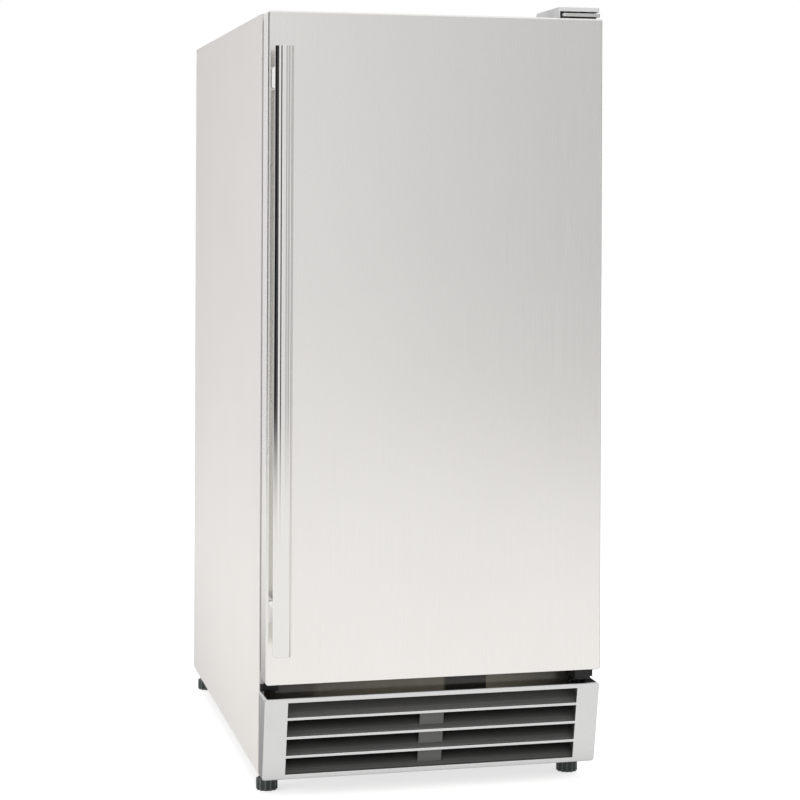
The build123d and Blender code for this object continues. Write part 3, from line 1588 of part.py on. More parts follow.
discharge_points = [
    (discharge_x, stub_front, condenser_top),
    (discharge_x, stub_front - discharge_run, condenser_top),
    (discharge_side, stub_front - discharge_run, condenser_top),
    (discharge_side, condenser_back, condenser_top),
    (inlet_x, condenser_back, condenser_top),
]
save(tube_along(discharge_points, condenser_tube_radius, tube_bend), "discharge_tube")

# Condenser fins: thin plates on collars that the tube is pushed through
fins_half = pass_half - fin_end_gap
fin_pitch = (2 * fins_half - fin_sheet) / (fin_count - 1)
fin_front = condenser_front - fin_margin
fin_back = condenser_back + fin_margin
fin_low = condenser_low - fin_margin
fin_high = condenser_top + fin_margin
fins_middle = ((fin_front + fin_back) / 2, (fin_low + fin_high) / 2)
with BuildPart() as condenser_fins:
    for fin in range(fin_count):
        fin_x = -fins_half + fin * fin_pitch
        low = pan_top if fin in (0, fin_count - 1) else fin_low
        block(fin_x, fin_x + fin_sheet, fin_front, fin_back, low, fin_high)
    with BuildSketch(Plane.YZ.offset(-fins_half)):
        with Locations(fins_middle):
            with GridLocations(condenser_row_pitch, condenser_pitch, condenser_rows, condenser_columns):
                Circle(condenser_tube_radius + collar_wall)
    extrude(amount=2 * fins_half)
    with BuildSketch(Plane.YZ.offset(-fins_half)):
        with Locations(fins_middle):
            with GridLocations(condenser_row_pitch, condenser_pitch, condenser_rows, condenser_columns):
                Circle(condenser_tube_radius)
    extrude(amount=2 * fins_half, mode=Mode.SUBTRACT)
save(condenser_fins.part, "condenser_fins")

# Filter drier between the condenser and the capillary tube
with BuildPart() as filter_drier:
    with BuildSketch(Plane.YZ.offset(drier_x)):
        with BuildLine():
            Polyline(
                (drier_start, condenser_low),
                (drier_start, condenser_low + condenser_tube_radius + drier_neck),
                (drier_start + drier_taper, condenser_low + drier_radius),
                (drier_end - drier_taper, condenser_low + drier_radius),
                (drier_end, condenser_low + capillary_radius + drier_neck),
                (drier_end, condenser_low),
                close=True,
            )
        make_face()
    revolve(axis=Axis((drier_x, 0, condenser_low), (0, 1, 0)))
save(filter_drier.part, "filter_drier")

# Fan shroud: a plate with a round mouth, a duct to the fins and a cradle for the motor
fan_y = cabinet_front + fan_setback
shroud_high = deck_bottom - shroud_gap
fan_z = (pan_top + shroud_high) / 2
plate_rear = fan_y + shroud_sheet / 2
hub_rear = fan_y + fan_hub_depth / 2
motor_front = hub_rear + motor_gap
cradle_y = motor_front + cradle_setback
fan_plane = Plane(origin=(0, fan_y, fan_z), x_dir=(1, 0, 0), z_dir=(0, -1, 0))
with BuildPart() as fan_shroud:
    shroud_half = shroud_width / 2
    block(-shroud_half, shroud_half, fin_back, plate_rear, pan_top, shroud_high)
    block(
        -shroud_half + shroud_sheet,
        shroud_half - shroud_sheet,
        fin_back,
        plate_rear - shroud_sheet,
        pan_top + shroud_sheet,
        shroud_high - shroud_sheet,
        mode=Mode.SUBTRACT,
    )
    with BuildSketch(facing_front(plate_rear)):
        with Locations((0, fan_z)):
            Circle(fan_radius + fan_tip_gap)
    extrude(amount=shroud_sheet, mode=Mode.SUBTRACT)
    post_x = fan_radius + fan_tip_gap + strut_width
    for side in (-1, 1):
        block(
            side * (post_x - strut_width / 2),
            side * (post_x + strut_width / 2),
            plate_rear,
            cradle_y,
            fan_z - strut_width / 2,
            fan_z + strut_width / 2,
        )
    with BuildSketch(facing_front(cradle_y)):
        with Locations((0, fan_z)):
            Rectangle(2 * post_x + strut_width, strut_width)
            Circle(motor_radius + cradle_wall)
            Circle(motor_radius, mode=Mode.SUBTRACT)
    extrude(amount=-cradle_depth)
save(fan_shroud.part, "fan_shroud")

# Fan motor in its cradle, with a bore for the fan's shaft
with BuildPart() as fan_motor:
    with BuildSketch(facing_front(motor_front)):
        with Locations((0, fan_z)):
            Circle(motor_radius)
    extrude(amount=-motor_length)
    fillet(fan_motor.edges(), motor_edge)
    with BuildSketch(facing_front(motor_front)):
        with Locations((0, fan_z)):
            Circle(fan_shaft_radius + spindle_gap)
    extrude(amount=-(shaft_engagement + shaft_end_gap), mode=Mode.SUBTRACT)
save(fan_motor.part, "fan_motor")

# Fan: a hub with five slanted blades and its shaft
with BuildPart() as condenser_fan:
    blade_length = fan_radius - fan_hub_radius + 2 * fan_blade_root
    with Locations(fan_plane):
        Cylinder(fan_hub_radius, fan_hub_depth)
        with PolarLocations(fan_hub_radius - fan_blade_root + blade_length / 2, fan_blade_count):
            with Locations(Rotation(fan_blade_angle, 0, 0)):
                Box(blade_length, fan_blade_chord, fan_blade_sheet)
    with Locations(fan_plane):
        Cylinder(fan_radius, fan_hub_depth, mode=Mode.INTERSECT)
    with BuildSketch(facing_front(hub_rear)):
        with Locations((0, fan_z)):
            Circle(fan_shaft_radius)
    extrude(amount=-(motor_gap + shaft_engagement))
save(condenser_fan.part, "condenser_fan")

# Levelling feet: a scalloped knob on a threaded stud, each in its own boss of the base pan
for name, (x, y) in foot_places.items():
    with BuildPart() as foot:
        with BuildSketch(Plane.XY):
            with Locations((x, y)):
                Circle(foot_radius)
                with PolarLocations(foot_radius + foot_lobe_offset, foot_lobes):
                    Circle(foot_lobe_radius, mode=Mode.SUBTRACT)
        extrude(amount=foot_height)
        chamfer(foot.faces().filter_by(Axis.Z).edges(), foot_edge)
        with BuildSketch(Plane.XY.offset(foot_height)):
            with Locations((x, y)):
                Circle(stud_radius)
        extrude(amount=stud_length)
        chamfer(foot.faces().sort_by(Axis.Z)[-1].edges(), stud_tip)
    save(foot.part, name)
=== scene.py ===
"""Compact upright refrigerator: finishes, fine pieces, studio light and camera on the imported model.

Everything is in metres, with X to the right, Y to the back and Z up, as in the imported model.
"""

from __future__ import annotations

import logging
import math
from dataclasses import dataclass, field
from enum import Enum
from typing import Callable, Iterable, Union

import bmesh
import bpy
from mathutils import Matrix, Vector


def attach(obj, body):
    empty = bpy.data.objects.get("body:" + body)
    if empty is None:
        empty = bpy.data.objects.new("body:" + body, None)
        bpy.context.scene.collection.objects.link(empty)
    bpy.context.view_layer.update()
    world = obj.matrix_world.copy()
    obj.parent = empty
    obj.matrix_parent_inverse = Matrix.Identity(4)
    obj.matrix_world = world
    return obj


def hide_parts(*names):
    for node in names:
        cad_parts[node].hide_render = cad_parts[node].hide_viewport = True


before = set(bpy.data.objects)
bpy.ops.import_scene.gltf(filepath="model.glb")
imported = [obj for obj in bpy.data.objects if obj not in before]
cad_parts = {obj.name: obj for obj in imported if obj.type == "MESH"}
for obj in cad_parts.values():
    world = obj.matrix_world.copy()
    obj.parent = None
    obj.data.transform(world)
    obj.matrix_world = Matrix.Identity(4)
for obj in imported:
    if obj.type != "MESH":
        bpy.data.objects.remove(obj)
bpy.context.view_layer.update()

logging.basicConfig(level=logging.INFO, format="%(name)s: %(message)s")
log = logging.getLogger("refrigerator")

Colour = tuple[float, float, float]
Point = tuple[float, float, float]
Piece = bpy.types.Object
Tree = bpy.types.NodeTree
Node = bpy.types.Node
Socket = bpy.types.NodeSocket
Feed = Union[Socket, float, tuple[float, ...]]
Inputs = dict[Union[str, int], Feed]
Range = tuple[Feed, Feed]

VECTOR = "NodeSocketVector"
VALUE = "NodeSocketFloat"
COLOUR = "NodeSocketColor"
WHITE = (1.0, 1.0, 1.0, 1.0)
UP = Vector((0.0, 0.0, 1.0))
DOWN = Vector((0.0, 0.0, -1.0))
FRONT = Vector((0.0, -1.0, 0.0))
FACING = 0.9  # least cosine between a face's normal and the direction that it is said to face


class Grain(Enum):
    """How the fine surface of a finish is structured, by the stretch of its noise per metre."""

    BRUSHED_UP = (1500.0, 1500.0, 9.0)
    DRAWN = (700.0, 700.0, 60.0)
    PEEL = (260.0, 260.0, 260.0)
    MOULDED = (1300.0, 1300.0, 1300.0)
    SMOOTH = (60.0, 60.0, 60.0)


@dataclass(frozen=True)
class PaintedFade:
    """Painted light and shade: a change of colour along one direction of the object.

    Attributes:
        direction: weights of X, Y and Z in the distance that is measured.
        stops: pairs of distance in metres and share of the shade colour, in rising order.
    """

    direction: Point
    stops: tuple[tuple[float, float], ...]


@dataclass(frozen=True)
class Finish:
    """One surface finish.

    Attributes:
        name: the material's name.
        colour: the main colour, linear.
        shade: the colour that the mottling and the painted light and shade blend towards, linear.
        metallic: 0 for paint and plastic, 1 for bare metal.
        rough: the lowest and highest roughness across the grain.
        grain: the structure of the fine surface.
        bump: the height of the grain in metres.
        edge: the radius in metres of the softened edges, 0 for none.
        coat: the weight of a clear coat.
        transmission: how much light passes through.
        alpha: the opacity.
        mottle: how strongly the shade shows, from 0 to 1.
        specular: the level of the surface reflection.
        fade: where the shade colour shows along the object as painted light and shade, or None for mottling
            alone.
        edge_highlight: the lighter colour painted on the edges as a highlight, or None.
    """

    name: str
    colour: Colour
    shade: Colour
    metallic: float = 0.0
    rough: tuple[float, float] = (0.4, 0.5)
    grain: Grain = Grain.SMOOTH
    bump: float = 0.00002
    edge: float = 0.0
    coat: float = 0.0
    transmission: float = 0.0
    alpha: float = 1.0
    mottle: float = 0.5
    specular: float = 0.5
    fade: PaintedFade | None = None
    edge_highlight: Colour | None = None


LOUVRE_WEB = -0.23115  # where the plane of the louvre's middle web lies along the painted fade below
WEB_HIGHLIGHT_BAND = 0.00008  # how far before and behind that plane the plastic is painted lighter, as a painted highlight on the web

CABINET_PAINT = Finish(
    "cabinet_paint", (0.74, 0.72, 0.695), (0.70, 0.68, 0.655), rough=(0.38, 0.46), grain=Grain.PEEL,
    bump=0.00002, edge=0.0012, mottle=0.35, specular=0.12,
)
STAINLESS = Finish(
    "stainless", (0.89, 0.873, 0.85), (0.85, 0.833, 0.81), 1.0, (0.22, 0.29), Grain.BRUSHED_UP, 0.000003,
    edge=0.0012, mottle=0.4,
)
HANDLE_STEEL = Finish(
    "handle_steel", (0.82, 0.81, 0.79), (0.76, 0.75, 0.73), 1.0, (0.07, 0.11), Grain.BRUSHED_UP, 0.000001,
    edge=0.0006, mottle=0.3,
)
# silver paint whose edges are painted almost white as a highlight
SILVER_PAINT = Finish(
    "silver_paint", (0.715, 0.715, 0.72), (0.67, 0.67, 0.675), 0.85, (0.26, 0.34), Grain.MOULDED, 0.000005,
    edge=0.0013, coat=0.2, mottle=0.3, edge_highlight=(0.97, 0.97, 0.97),
)
DARK_PAINT = Finish(
    "dark_paint", (0.035, 0.028, 0.022), (0.05, 0.042, 0.035), 0.0, (0.16, 0.24), Grain.PEEL, 0.00001,
    edge=0.0005, coat=0.3,
)
# dark enamel; the light and dark bands along X are painted reflections and painted shade under the door
SILL_ENAMEL_PAINTED_REFLECTIONS = Finish(
    "sill_enamel_painted_reflections", (0.010, 0.009, 0.008), (0.36, 0.325, 0.255), 0.0, (0.14, 0.22), Grain.PEEL, 0.00001,
    edge=0.0005, coat=0.1, mottle=0.3,
    fade=PaintedFade(
        (1.0, 0.0, 0.0),
        (
            (-0.175, 0.10), (-0.130, 0.18), (-0.121, 0.42), (0.019, 0.68), (0.0225, 0.03), (0.0690, 0.03),
            (0.0700, 0.72), (0.105, 0.55), (0.168, 0.10),
        ),
    ),
)
HINGE_BLACK = Finish(
    "hinge_black", (0.014, 0.014, 0.014), (0.022, 0.022, 0.022), 0.0, (0.34, 0.46), Grain.MOULDED, 0.00001,
    edge=0.0004, specular=0.25,
)
SCREW_BLACK = Finish(
    "screw_black", (0.03, 0.03, 0.032), (0.055, 0.055, 0.058), 0.6, (0.26, 0.36), Grain.MOULDED, 0.00001,
    edge=0.0003, mottle=0.6,
)
BLACK_PLASTIC = Finish(
    "black_plastic", (0.016, 0.016, 0.017), (0.026, 0.026, 0.027), 0.0, (0.42, 0.56), Grain.MOULDED, 0.00002,
    edge=0.0004, specular=0.3,
)
# dark plastic painted darker towards the back as painted shade, with the web's plane painted lighter as a
# highlight
LOUVRE_PLASTIC_PAINTED_SHADE = Finish(
    "louvre_plastic_painted_shade", (0.17, 0.17, 0.165), (0.004, 0.004, 0.004), 0.0, (0.34, 0.46), Grain.MOULDED, 0.00001,
    edge=0.0004, specular=0.3, mottle=0.15,
    fade=PaintedFade(
        (0.0, 1.0, 0.2145),
        (
            (-0.236, 0.27), (-0.2313, 0.44), (LOUVRE_WEB - WEB_HIGHLIGHT_BAND, 0.0), (LOUVRE_WEB + WEB_HIGHLIGHT_BAND, 0.0),
            (-0.2310, 0.45), (-0.217, 1.0),
        ),
    ),
)
COVER_PLASTIC = Finish(
    "cover_plastic", (0.72, 0.73, 0.73), (0.66, 0.67, 0.67), 0.1, (0.3, 0.4), Grain.MOULDED, 0.00001,
    edge=0.0006,
)
LINER_PLASTIC = Finish(
    "liner_plastic", (0.80, 0.80, 0.785), (0.76, 0.76, 0.75), 0.0, (0.22, 0.3), Grain.PEEL, 0.00001,
    edge=0.0008, mottle=0.25,
)
CLEAR_PLASTIC = Finish(
    "clear_plastic", (0.88, 0.93, 0.95), (0.84, 0.90, 0.93), 0.0, (0.05, 0.1), Grain.SMOOTH, 0.00002,
    transmission=0.7, alpha=0.6,
)
INSULATION = Finish(
    "insulation", (0.66, 0.56, 0.33), (0.58, 0.48, 0.27), 0.0, (0.85, 0.95), Grain.MOULDED, 0.0002,
)
GALVANISED = Finish(
    "galvanised", (0.48, 0.49, 0.50), (0.58, 0.59, 0.60), 0.85, (0.32, 0.5), Grain.PEEL, 0.00001,
    edge=0.0004, mottle=0.9,
)
HINGE_STEEL = Finish(
    "hinge_steel", (0.82, 0.82, 0.81), (0.72, 0.72, 0.71), 1.0, (0.12, 0.22), Grain.DRAWN, 0.000005,
    edge=0.0005,
)
WIRE_CHROME = Finish(
    "wire_chrome", (0.86, 0.86, 0.86), (0.80, 0.80, 0.80), 1.0, (0.06, 0.1), Grain.DRAWN, 0.000002,
)
ALUMINIUM = Finish(
    "aluminium", (0.80, 0.81, 0.82), (0.72, 0.73, 0.74), 1.0, (0.32, 0.45), Grain.DRAWN, 0.000008,
    edge=0.0003,
)
COPPER = Finish(
    "copper", (0.72, 0.36, 0.22), (0.46, 0.22, 0.13), 1.0, (0.22, 0.38), Grain.DRAWN, 0.000008, mottle=0.8,
)
BLACK_ENAMEL = Finish(
    "black_enamel", (0.012, 0.012, 0.013), (0.02, 0.02, 0.021), 0.0, (0.18, 0.26), Grain.PEEL, 0.00003,
    edge=0.0006, coat=0.5,
)
MOTOR_STEEL = Finish(
    "motor_steel", (0.5, 0.5, 0.51), (0.42, 0.42, 0.43), 1.0, (0.3, 0.45), Grain.DRAWN, 0.00001, edge=0.0005,
)
RUBBER = Finish(
    "rubber", (0.018, 0.018, 0.018), (0.03, 0.03, 0.03), 0.0, (0.6, 0.75), Grain.MOULDED, 0.00003,
    edge=0.0005,
)
SEAL_RUBBER = Finish(
    "seal_rubber", (0.022, 0.022, 0.023), (0.034, 0.034, 0.035), 0.0, (0.5, 0.62), Grain.MOULDED, 0.00002,
    specular=0.15,
)
# dark green-grey plastic whose ridge edges are painted lighter as a highlight
FOOT_PLASTIC = Finish(
    "foot_plastic", (0.060, 0.072, 0.070), (0.09, 0.105, 0.10), 0.0, (0.2, 0.3), Grain.MOULDED, 0.00002,
    edge=0.0009, edge_highlight=(0.34, 0.38, 0.36),
)
FROSTED = Finish(
    "frosted", (0.90, 0.90, 0.88), (0.86, 0.86, 0.84), 0.0, (0.35, 0.45), Grain.PEEL, 0.00004,
    transmission=0.6, alpha=0.8,
)
BULB_GLASS = Finish(
    "bulb_glass", (0.95, 0.95, 0.92), (0.92, 0.92, 0.88), 0.0, (0.03, 0.06), Grain.SMOOTH, 0.00001,
    transmission=0.9,
)
DIAL_INK = Finish(
    "dial_ink", (0.05, 0.06, 0.08), (0.07, 0.08, 0.10), 0.0, (0.4, 0.5), Grain.MOULDED, 0.00001,
)

NODE_FINISHES: dict[Finish, tuple[str, ...]] = {
    CABINET_PAINT: ("side_panel_left", "side_panel_right", "top_panel", "back_panel"),
    STAINLESS: ("door_skin",),
    HANDLE_STEEL: ("handle_bar", "handle_posts"),
    SILVER_PAINT: ("kick_grille",),
    DARK_PAINT: ("rear_cover",),
    SILL_ENAMEL_PAINTED_REFLECTIONS: ("sill_rail",),
    # top_hinge_pad is a real black spacer; where it shows under the plate's front, its near-black colour
    # stands in for the shadow in the gap above the door
    HINGE_BLACK: (
        "bottom_hinge_bracket", "bottom_hinge_washer", "hinge_pins", "hinge_screws", "top_hinge_pad",
    ),
    BLACK_PLASTIC: (
        "cord_gland", "spare_hinge_cover", "thermostat_body", "door_switch_body", "drip_tray", "fan_shroud",
        "condenser_fan", "door_bushes",
    ),
    LOUVRE_PLASTIC_PAINTED_SHADE: ("grille_louvre",),
    COVER_PLASTIC: ("top_hinge_cover",),
    LINER_PLASTIC: (
        "inner_liner", "door_liner", "control_housing", "drain_tube", "thermostat_knob",
        "door_switch_plunger",
    ),
    CLEAR_PLASTIC: ("door_rack_bottom", "door_rack_middle", "door_rack_top"),
    INSULATION: ("cabinet_foam", "door_foam"),
    GALVANISED: ("base_pan", "compartment_deck"),
    HINGE_STEEL: ("top_hinge_plate", "handle_screws"),
    WIRE_CHROME: ("wire_shelf_bottom", "wire_shelf_middle", "wire_shelf_top"),
    ALUMINIUM: ("evaporator_plate", "condenser_fins"),
    COPPER: ("condenser_tube", "discharge_tube", "suction_tube", "capillary_tube", "filter_drier"),
    BLACK_ENAMEL: ("compressor",),
    MOTOR_STEEL: ("fan_motor",),
    RUBBER: ("compressor_mounts",),
    SEAL_RUBBER: ("door_gasket",),
    FOOT_PLASTIC: ("foot_front_left", "foot_front_right", "foot_rear_left", "foot_rear_right"),
    FROSTED: ("lamp_lens",),
    BULB_GLASS: ("lamp",),
}


class Wiring:
    """Lays shader nodes in a tree; an input takes an output socket to be linked, or a plain value."""

    def __init__(self, tree: Tree) -> None:
        """Keeps the tree of a material, a world or a group."""
        self.tree = tree

    @classmethod
    def group(cls, name: str, inputs: dict[str, str], output: tuple[str, str]) -> Wiring:
        """Starts a node group with its sockets.

        Args:
            name: the group's name.
            inputs: the socket type of each input.
            output: the name and the socket type of the output.

        Returns:
            The wiring of the new group.
        """
        tree = bpy.data.node_groups.new(name, "ShaderNodeTree")
        for socket, kind in inputs.items():
            tree.interface.new_socket(name=socket, in_out="INPUT", socket_type=kind)
        tree.interface.new_socket(name=output[0], in_out="OUTPUT", socket_type=output[1])
        return cls(tree)

    def feed(self, node: Node, inputs: Inputs) -> None:
        """Feeds the inputs of a node.

        Args:
            node: the node.
            inputs: what goes into its inputs, by name or number.
        """
        for name, feed in inputs.items():
            if isinstance(feed, Socket):
                self.tree.links.new(feed, node.inputs[name])
            else:
                node.inputs[name].default_value = feed

    def add(self, kind: str, inputs: Inputs | None = None, **choices: object) -> Node:
        """Adds a node.

        Args:
            kind: the node's type.
            inputs: what goes into its inputs, by name or number.
            choices: the node's own settings.

        Returns:
            The node.
        """
        node = self.tree.nodes.new(kind)
        for name, choice in choices.items():
            setattr(node, name, choice)
        self.feed(node, inputs or {})
        return node

    def effect(self, group: Tree, inputs: Inputs) -> Socket:
        """Adds a shared group and gives its output."""
        return self.add("ShaderNodeGroup", inputs, node_tree=group).outputs[0]

    def maths(self, operation: str, *values: Feed, clamp: bool = False) -> Socket:
        """Works out a value from others, kept between 0 and 1 if clamp is on."""
        node = self.add("ShaderNodeMath", dict(enumerate(values)), operation=operation, use_clamp=clamp)
        return node.outputs[0]

    def vector(self, operation: str, *vectors: Feed) -> Node:
        """Works out a vector, or the value of a vector, from vectors."""
        return self.add("ShaderNodeVectorMath", dict(enumerate(vectors)), operation=operation)

    def ranged(self, value: Feed, ends: Range, result: Range = (0.0, 1.0), smooth: bool = False) -> Socket:
        """Turns one range of values into another.

        Args:
            value: the value to turn.
            ends: the two ends of the range that it comes from.
            result: the two ends of the range that it is turned into.
            smooth: whether the change starts and ends gently.

        Returns:
            The turned value.
        """
        inputs = dict(zip(("Value", "From Min", "From Max", "To Min", "To Max"), (value, *ends, *result)))
        kind = "SMOOTHSTEP" if smooth else "LINEAR"
        return self.add("ShaderNodeMapRange", inputs, interpolation_type=kind).outputs["Result"]

    def blended(self, share: Feed, first: Feed, second: Feed) -> Socket:
        """Blends two colours by the share of the second."""
        node = self.add("ShaderNodeMix", {"Factor": share, "A": first, "B": second}, data_type="RGBA")
        return node.outputs["Result"]

    def chosen(self, share: Feed, first: Feed, second: Feed) -> Socket:
        """Blends two shaders by the share of the second."""
        return self.add("ShaderNodeMixShader", {"Fac": share, 1: first, 2: second}).outputs[0]

    def graded(self, share: Feed, stops: list[tuple[float, float]]) -> Socket:
        """Turns a share into a grey by a colour ramp.

        Args:
            share: the place along the ramp.
            stops: pairs of place from 0 to 1 and brightness, in rising order.

        Returns:
            The grey.
        """
        ramp = self.add("ShaderNodeValToRGB", {"Fac": share})
        elements = ramp.color_ramp.elements
        while len(elements) < len(stops):
            elements.new(0.5)
        for element, (place, value) in zip(elements, stops):
            element.position = place
            element.color = (value, value, value, 1.0)
        return ramp.outputs["Color"]


class EffectGroups:
    """The shader node groups that the finishes share; each gives only values or masks."""

    GRAIN_NOISE = {"Scale": 1.0, "Detail": 3.0, "Roughness": 0.6}
    BROAD_PATCHES = {"Scale": 7.0, "Detail": 2.0}
    FINE_PATCHES = {"Scale": 90.0, "Detail": 4.0}
    FINE_SHARE = 0.35
    PATCH_RANGE = (0.45, 0.9)

    def __init__(self) -> None:
        """Builds the groups once."""
        self.grain = self._grain_group()
        self.mottle = self._mottle_group()
        self.distance = self._distance_group()
        self.highlight_mask = self._edge_highlight_group()

    def _grain_group(self) -> Tree:
        """Fine noise stretched along the grain.

        Returns:
            A group with the inputs Vector and Stretch and the output Height.
        """
        wiring = Wiring.group("surface_grain", {"Vector": VECTOR, "Stretch": VECTOR}, ("Height", VALUE))
        source = wiring.add("NodeGroupInput").outputs
        stretched = wiring.vector("MULTIPLY", source["Vector"], source["Stretch"])
        noise = wiring.add("ShaderNodeTexNoise", {"Vector": stretched.outputs[0], **self.GRAIN_NOISE})
        wiring.add("NodeGroupOutput", {"Height": noise.outputs["Fac"]})
        return wiring.tree

    def _mottle_group(self) -> Tree:
        """Broad, soft patches over a surface, with finer ones among them.

        Returns:
            A group with the input Vector and the output Mask.
        """
        wiring = Wiring.group("soft_mottle", {"Vector": VECTOR}, ("Mask", VALUE))
        place = wiring.add("NodeGroupInput").outputs["Vector"]
        broad = wiring.add("ShaderNodeTexNoise", {"Vector": place, **self.BROAD_PATCHES}).outputs["Fac"]
        fine = wiring.add("ShaderNodeTexNoise", {"Vector": place, **self.FINE_PATCHES}).outputs["Fac"]
        both = wiring.maths("MULTIPLY_ADD", fine, self.FINE_SHARE, broad)
        wiring.add("NodeGroupOutput", {"Mask": wiring.ranged(both, self.PATCH_RANGE)})
        return wiring.tree

    def _distance_group(self) -> Tree:
        """The distance along a direction, as a share of the way between two distances.

        Returns:
            A group with the inputs Vector, Direction, Start and End and the output Share.
        """
        inputs = {"Vector": VECTOR, "Direction": VECTOR, "Start": VALUE, "End": VALUE}
        wiring = Wiring.group("distance_along", inputs, ("Share", VALUE))
        source = wiring.add("NodeGroupInput").outputs
        along = wiring.vector("DOT_PRODUCT", source["Vector"], source["Direction"])
        share = wiring.ranged(along.outputs["Value"], (source["Start"], source["End"]))
        wiring.add("NodeGroupOutput", {"Share": share})
        return wiring.tree

    def _edge_highlight_group(self) -> Tree:
        """The places where the softened normal leans away from the surface, which are its edges, where the
        finishes paint a highlight.

        Returns:
            A group with the inputs Soft Normal and Gain and the output Mask.
        """
        wiring = Wiring.group("painted_edge_highlight", {"Soft Normal": VECTOR, "Gain": VALUE}, ("Mask", VALUE))
        source = wiring.add("NodeGroupInput").outputs
        surface = wiring.add("ShaderNodeNewGeometry").outputs["Normal"]
        same = wiring.vector("DOT_PRODUCT", source["Soft Normal"], surface)
        lean = wiring.maths("SUBTRACT", 1.0, same.outputs["Value"])
        wiring.add("NodeGroupOutput", {"Mask": wiring.maths("MULTIPLY", lean, source["Gain"], clamp=True)})
        return wiring.tree


class FinishShop:
    """Makes the materials of the finishes and puts them on pieces."""

    COAT_ROUGHNESS = 0.08
    GRAIN_SPREAD = (0.3, 0.7)
    EDGE_SAMPLES = 6
    HIGHLIGHT_GAIN = 8.0

    def __init__(self) -> None:
        """Makes the shared groups and an empty shelf of materials."""
        self.groups = EffectGroups()
        self.made: dict[str, bpy.types.Material] = {}

    def _painted_share(self, wiring: Wiring, fade: PaintedFade, place: Socket, amount: Socket) -> Socket:
        """Adds painted light and shade along the object, thinned a little by the mottling.

        Args:
            wiring: the wiring of the material.
            fade: where the painted shade colour shows.
            place: the place on the object.
            amount: the strength of the mottling.

        Returns:
            The share of the shade colour.
        """
        first, last = fade.stops[0][0], fade.stops[-1][0]
        along = wiring.effect(
            self.groups.distance, {"Vector": place, "Direction": fade.direction, "Start": first, "End": last}
        )
        shade = wiring.graded(
            along, [((distance - first) / (last - first), share) for distance, share in fade.stops]
        )
        return wiring.maths("MULTIPLY", shade, wiring.maths("SUBTRACT", 1.0, amount))

    def material(self, finish: Finish) -> bpy.types.Material:
        """The material of a finish, made on first use.

        Args:
            finish: the finish to make.

        Returns:
            The material.
        """
        if finish.name in self.made:
            return self.made[finish.name]
        material = bpy.data.materials.new(finish.name)
        material.use_nodes = True
        wiring = Wiring(material.node_tree)
        place = wiring.add("ShaderNodeTexCoord").outputs["Object"]
        share = wiring.maths("MULTIPLY", wiring.effect(self.groups.mottle, {"Vector": place}), finish.mottle)
        # painted light and shade: the shade colour is laid along the object where the finish has a painted
        # fade
        if finish.fade:
            share = self._painted_share(wiring, finish.fade, place, share)
        colour = wiring.blended(share, (*finish.colour, 1.0), (*finish.shade, 1.0))
        grain = wiring.effect(self.groups.grain, {"Vector": place, "Stretch": finish.grain.value})
        bump = wiring.add("ShaderNodeBump", {"Strength": 1.0, "Distance": finish.bump, "Height": grain})
        if finish.edge > 0:
            rounded = wiring.add("ShaderNodeBevel", {"Radius": finish.edge}, samples=self.EDGE_SAMPLES)
            soft_edge = rounded.outputs["Normal"]
            wiring.feed(bump, {"Normal": soft_edge})
            # painted highlight: the colour of the edges is blended towards a lighter one
            if finish.edge_highlight:
                highlight_mask = wiring.effect(self.groups.highlight_mask, {"Soft Normal": soft_edge, "Gain": self.HIGHLIGHT_GAIN})
                colour = wiring.blended(highlight_mask, colour, (*finish.edge_highlight, 1.0))
        wiring.feed(
            material.node_tree.nodes["Principled BSDF"],
            {
                "Base Color": colour,
                "Metallic": finish.metallic,
                "Roughness": wiring.ranged(grain, self.GRAIN_SPREAD, finish.rough),
                "Specular IOR Level": finish.specular,
                "Coat Weight": finish.coat,
                "Coat Roughness": self.COAT_ROUGHNESS,
                "Transmission Weight": finish.transmission,
                "Alpha": finish.alpha,
                "Normal": bump.outputs["Normal"],
            },
        )
        self.made[finish.name] = material
        return material

    def dress(self, piece: Piece, finish: Finish) -> None:
        """Puts a finish on every slot of a piece.

        Args:
            piece: the mesh object.
            finish: its finish.
        """
        material = self.material(finish)
        if not piece.material_slots:
            piece.data.materials.append(material)
        for slot in piece.material_slots:
            slot.material = material

    def dress_nodes(self) -> None:
        """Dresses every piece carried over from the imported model."""
        for finish, names in NODE_FINISHES.items():
            for name in names:
                self.dress(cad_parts[name], finish)
                log.info("%s finished as %s", name, finish.name)
        missing = set(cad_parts) - {name for names in NODE_FINISHES.values() for name in names}
        if missing:
            raise ValueError(f"no finish for {sorted(missing)}")


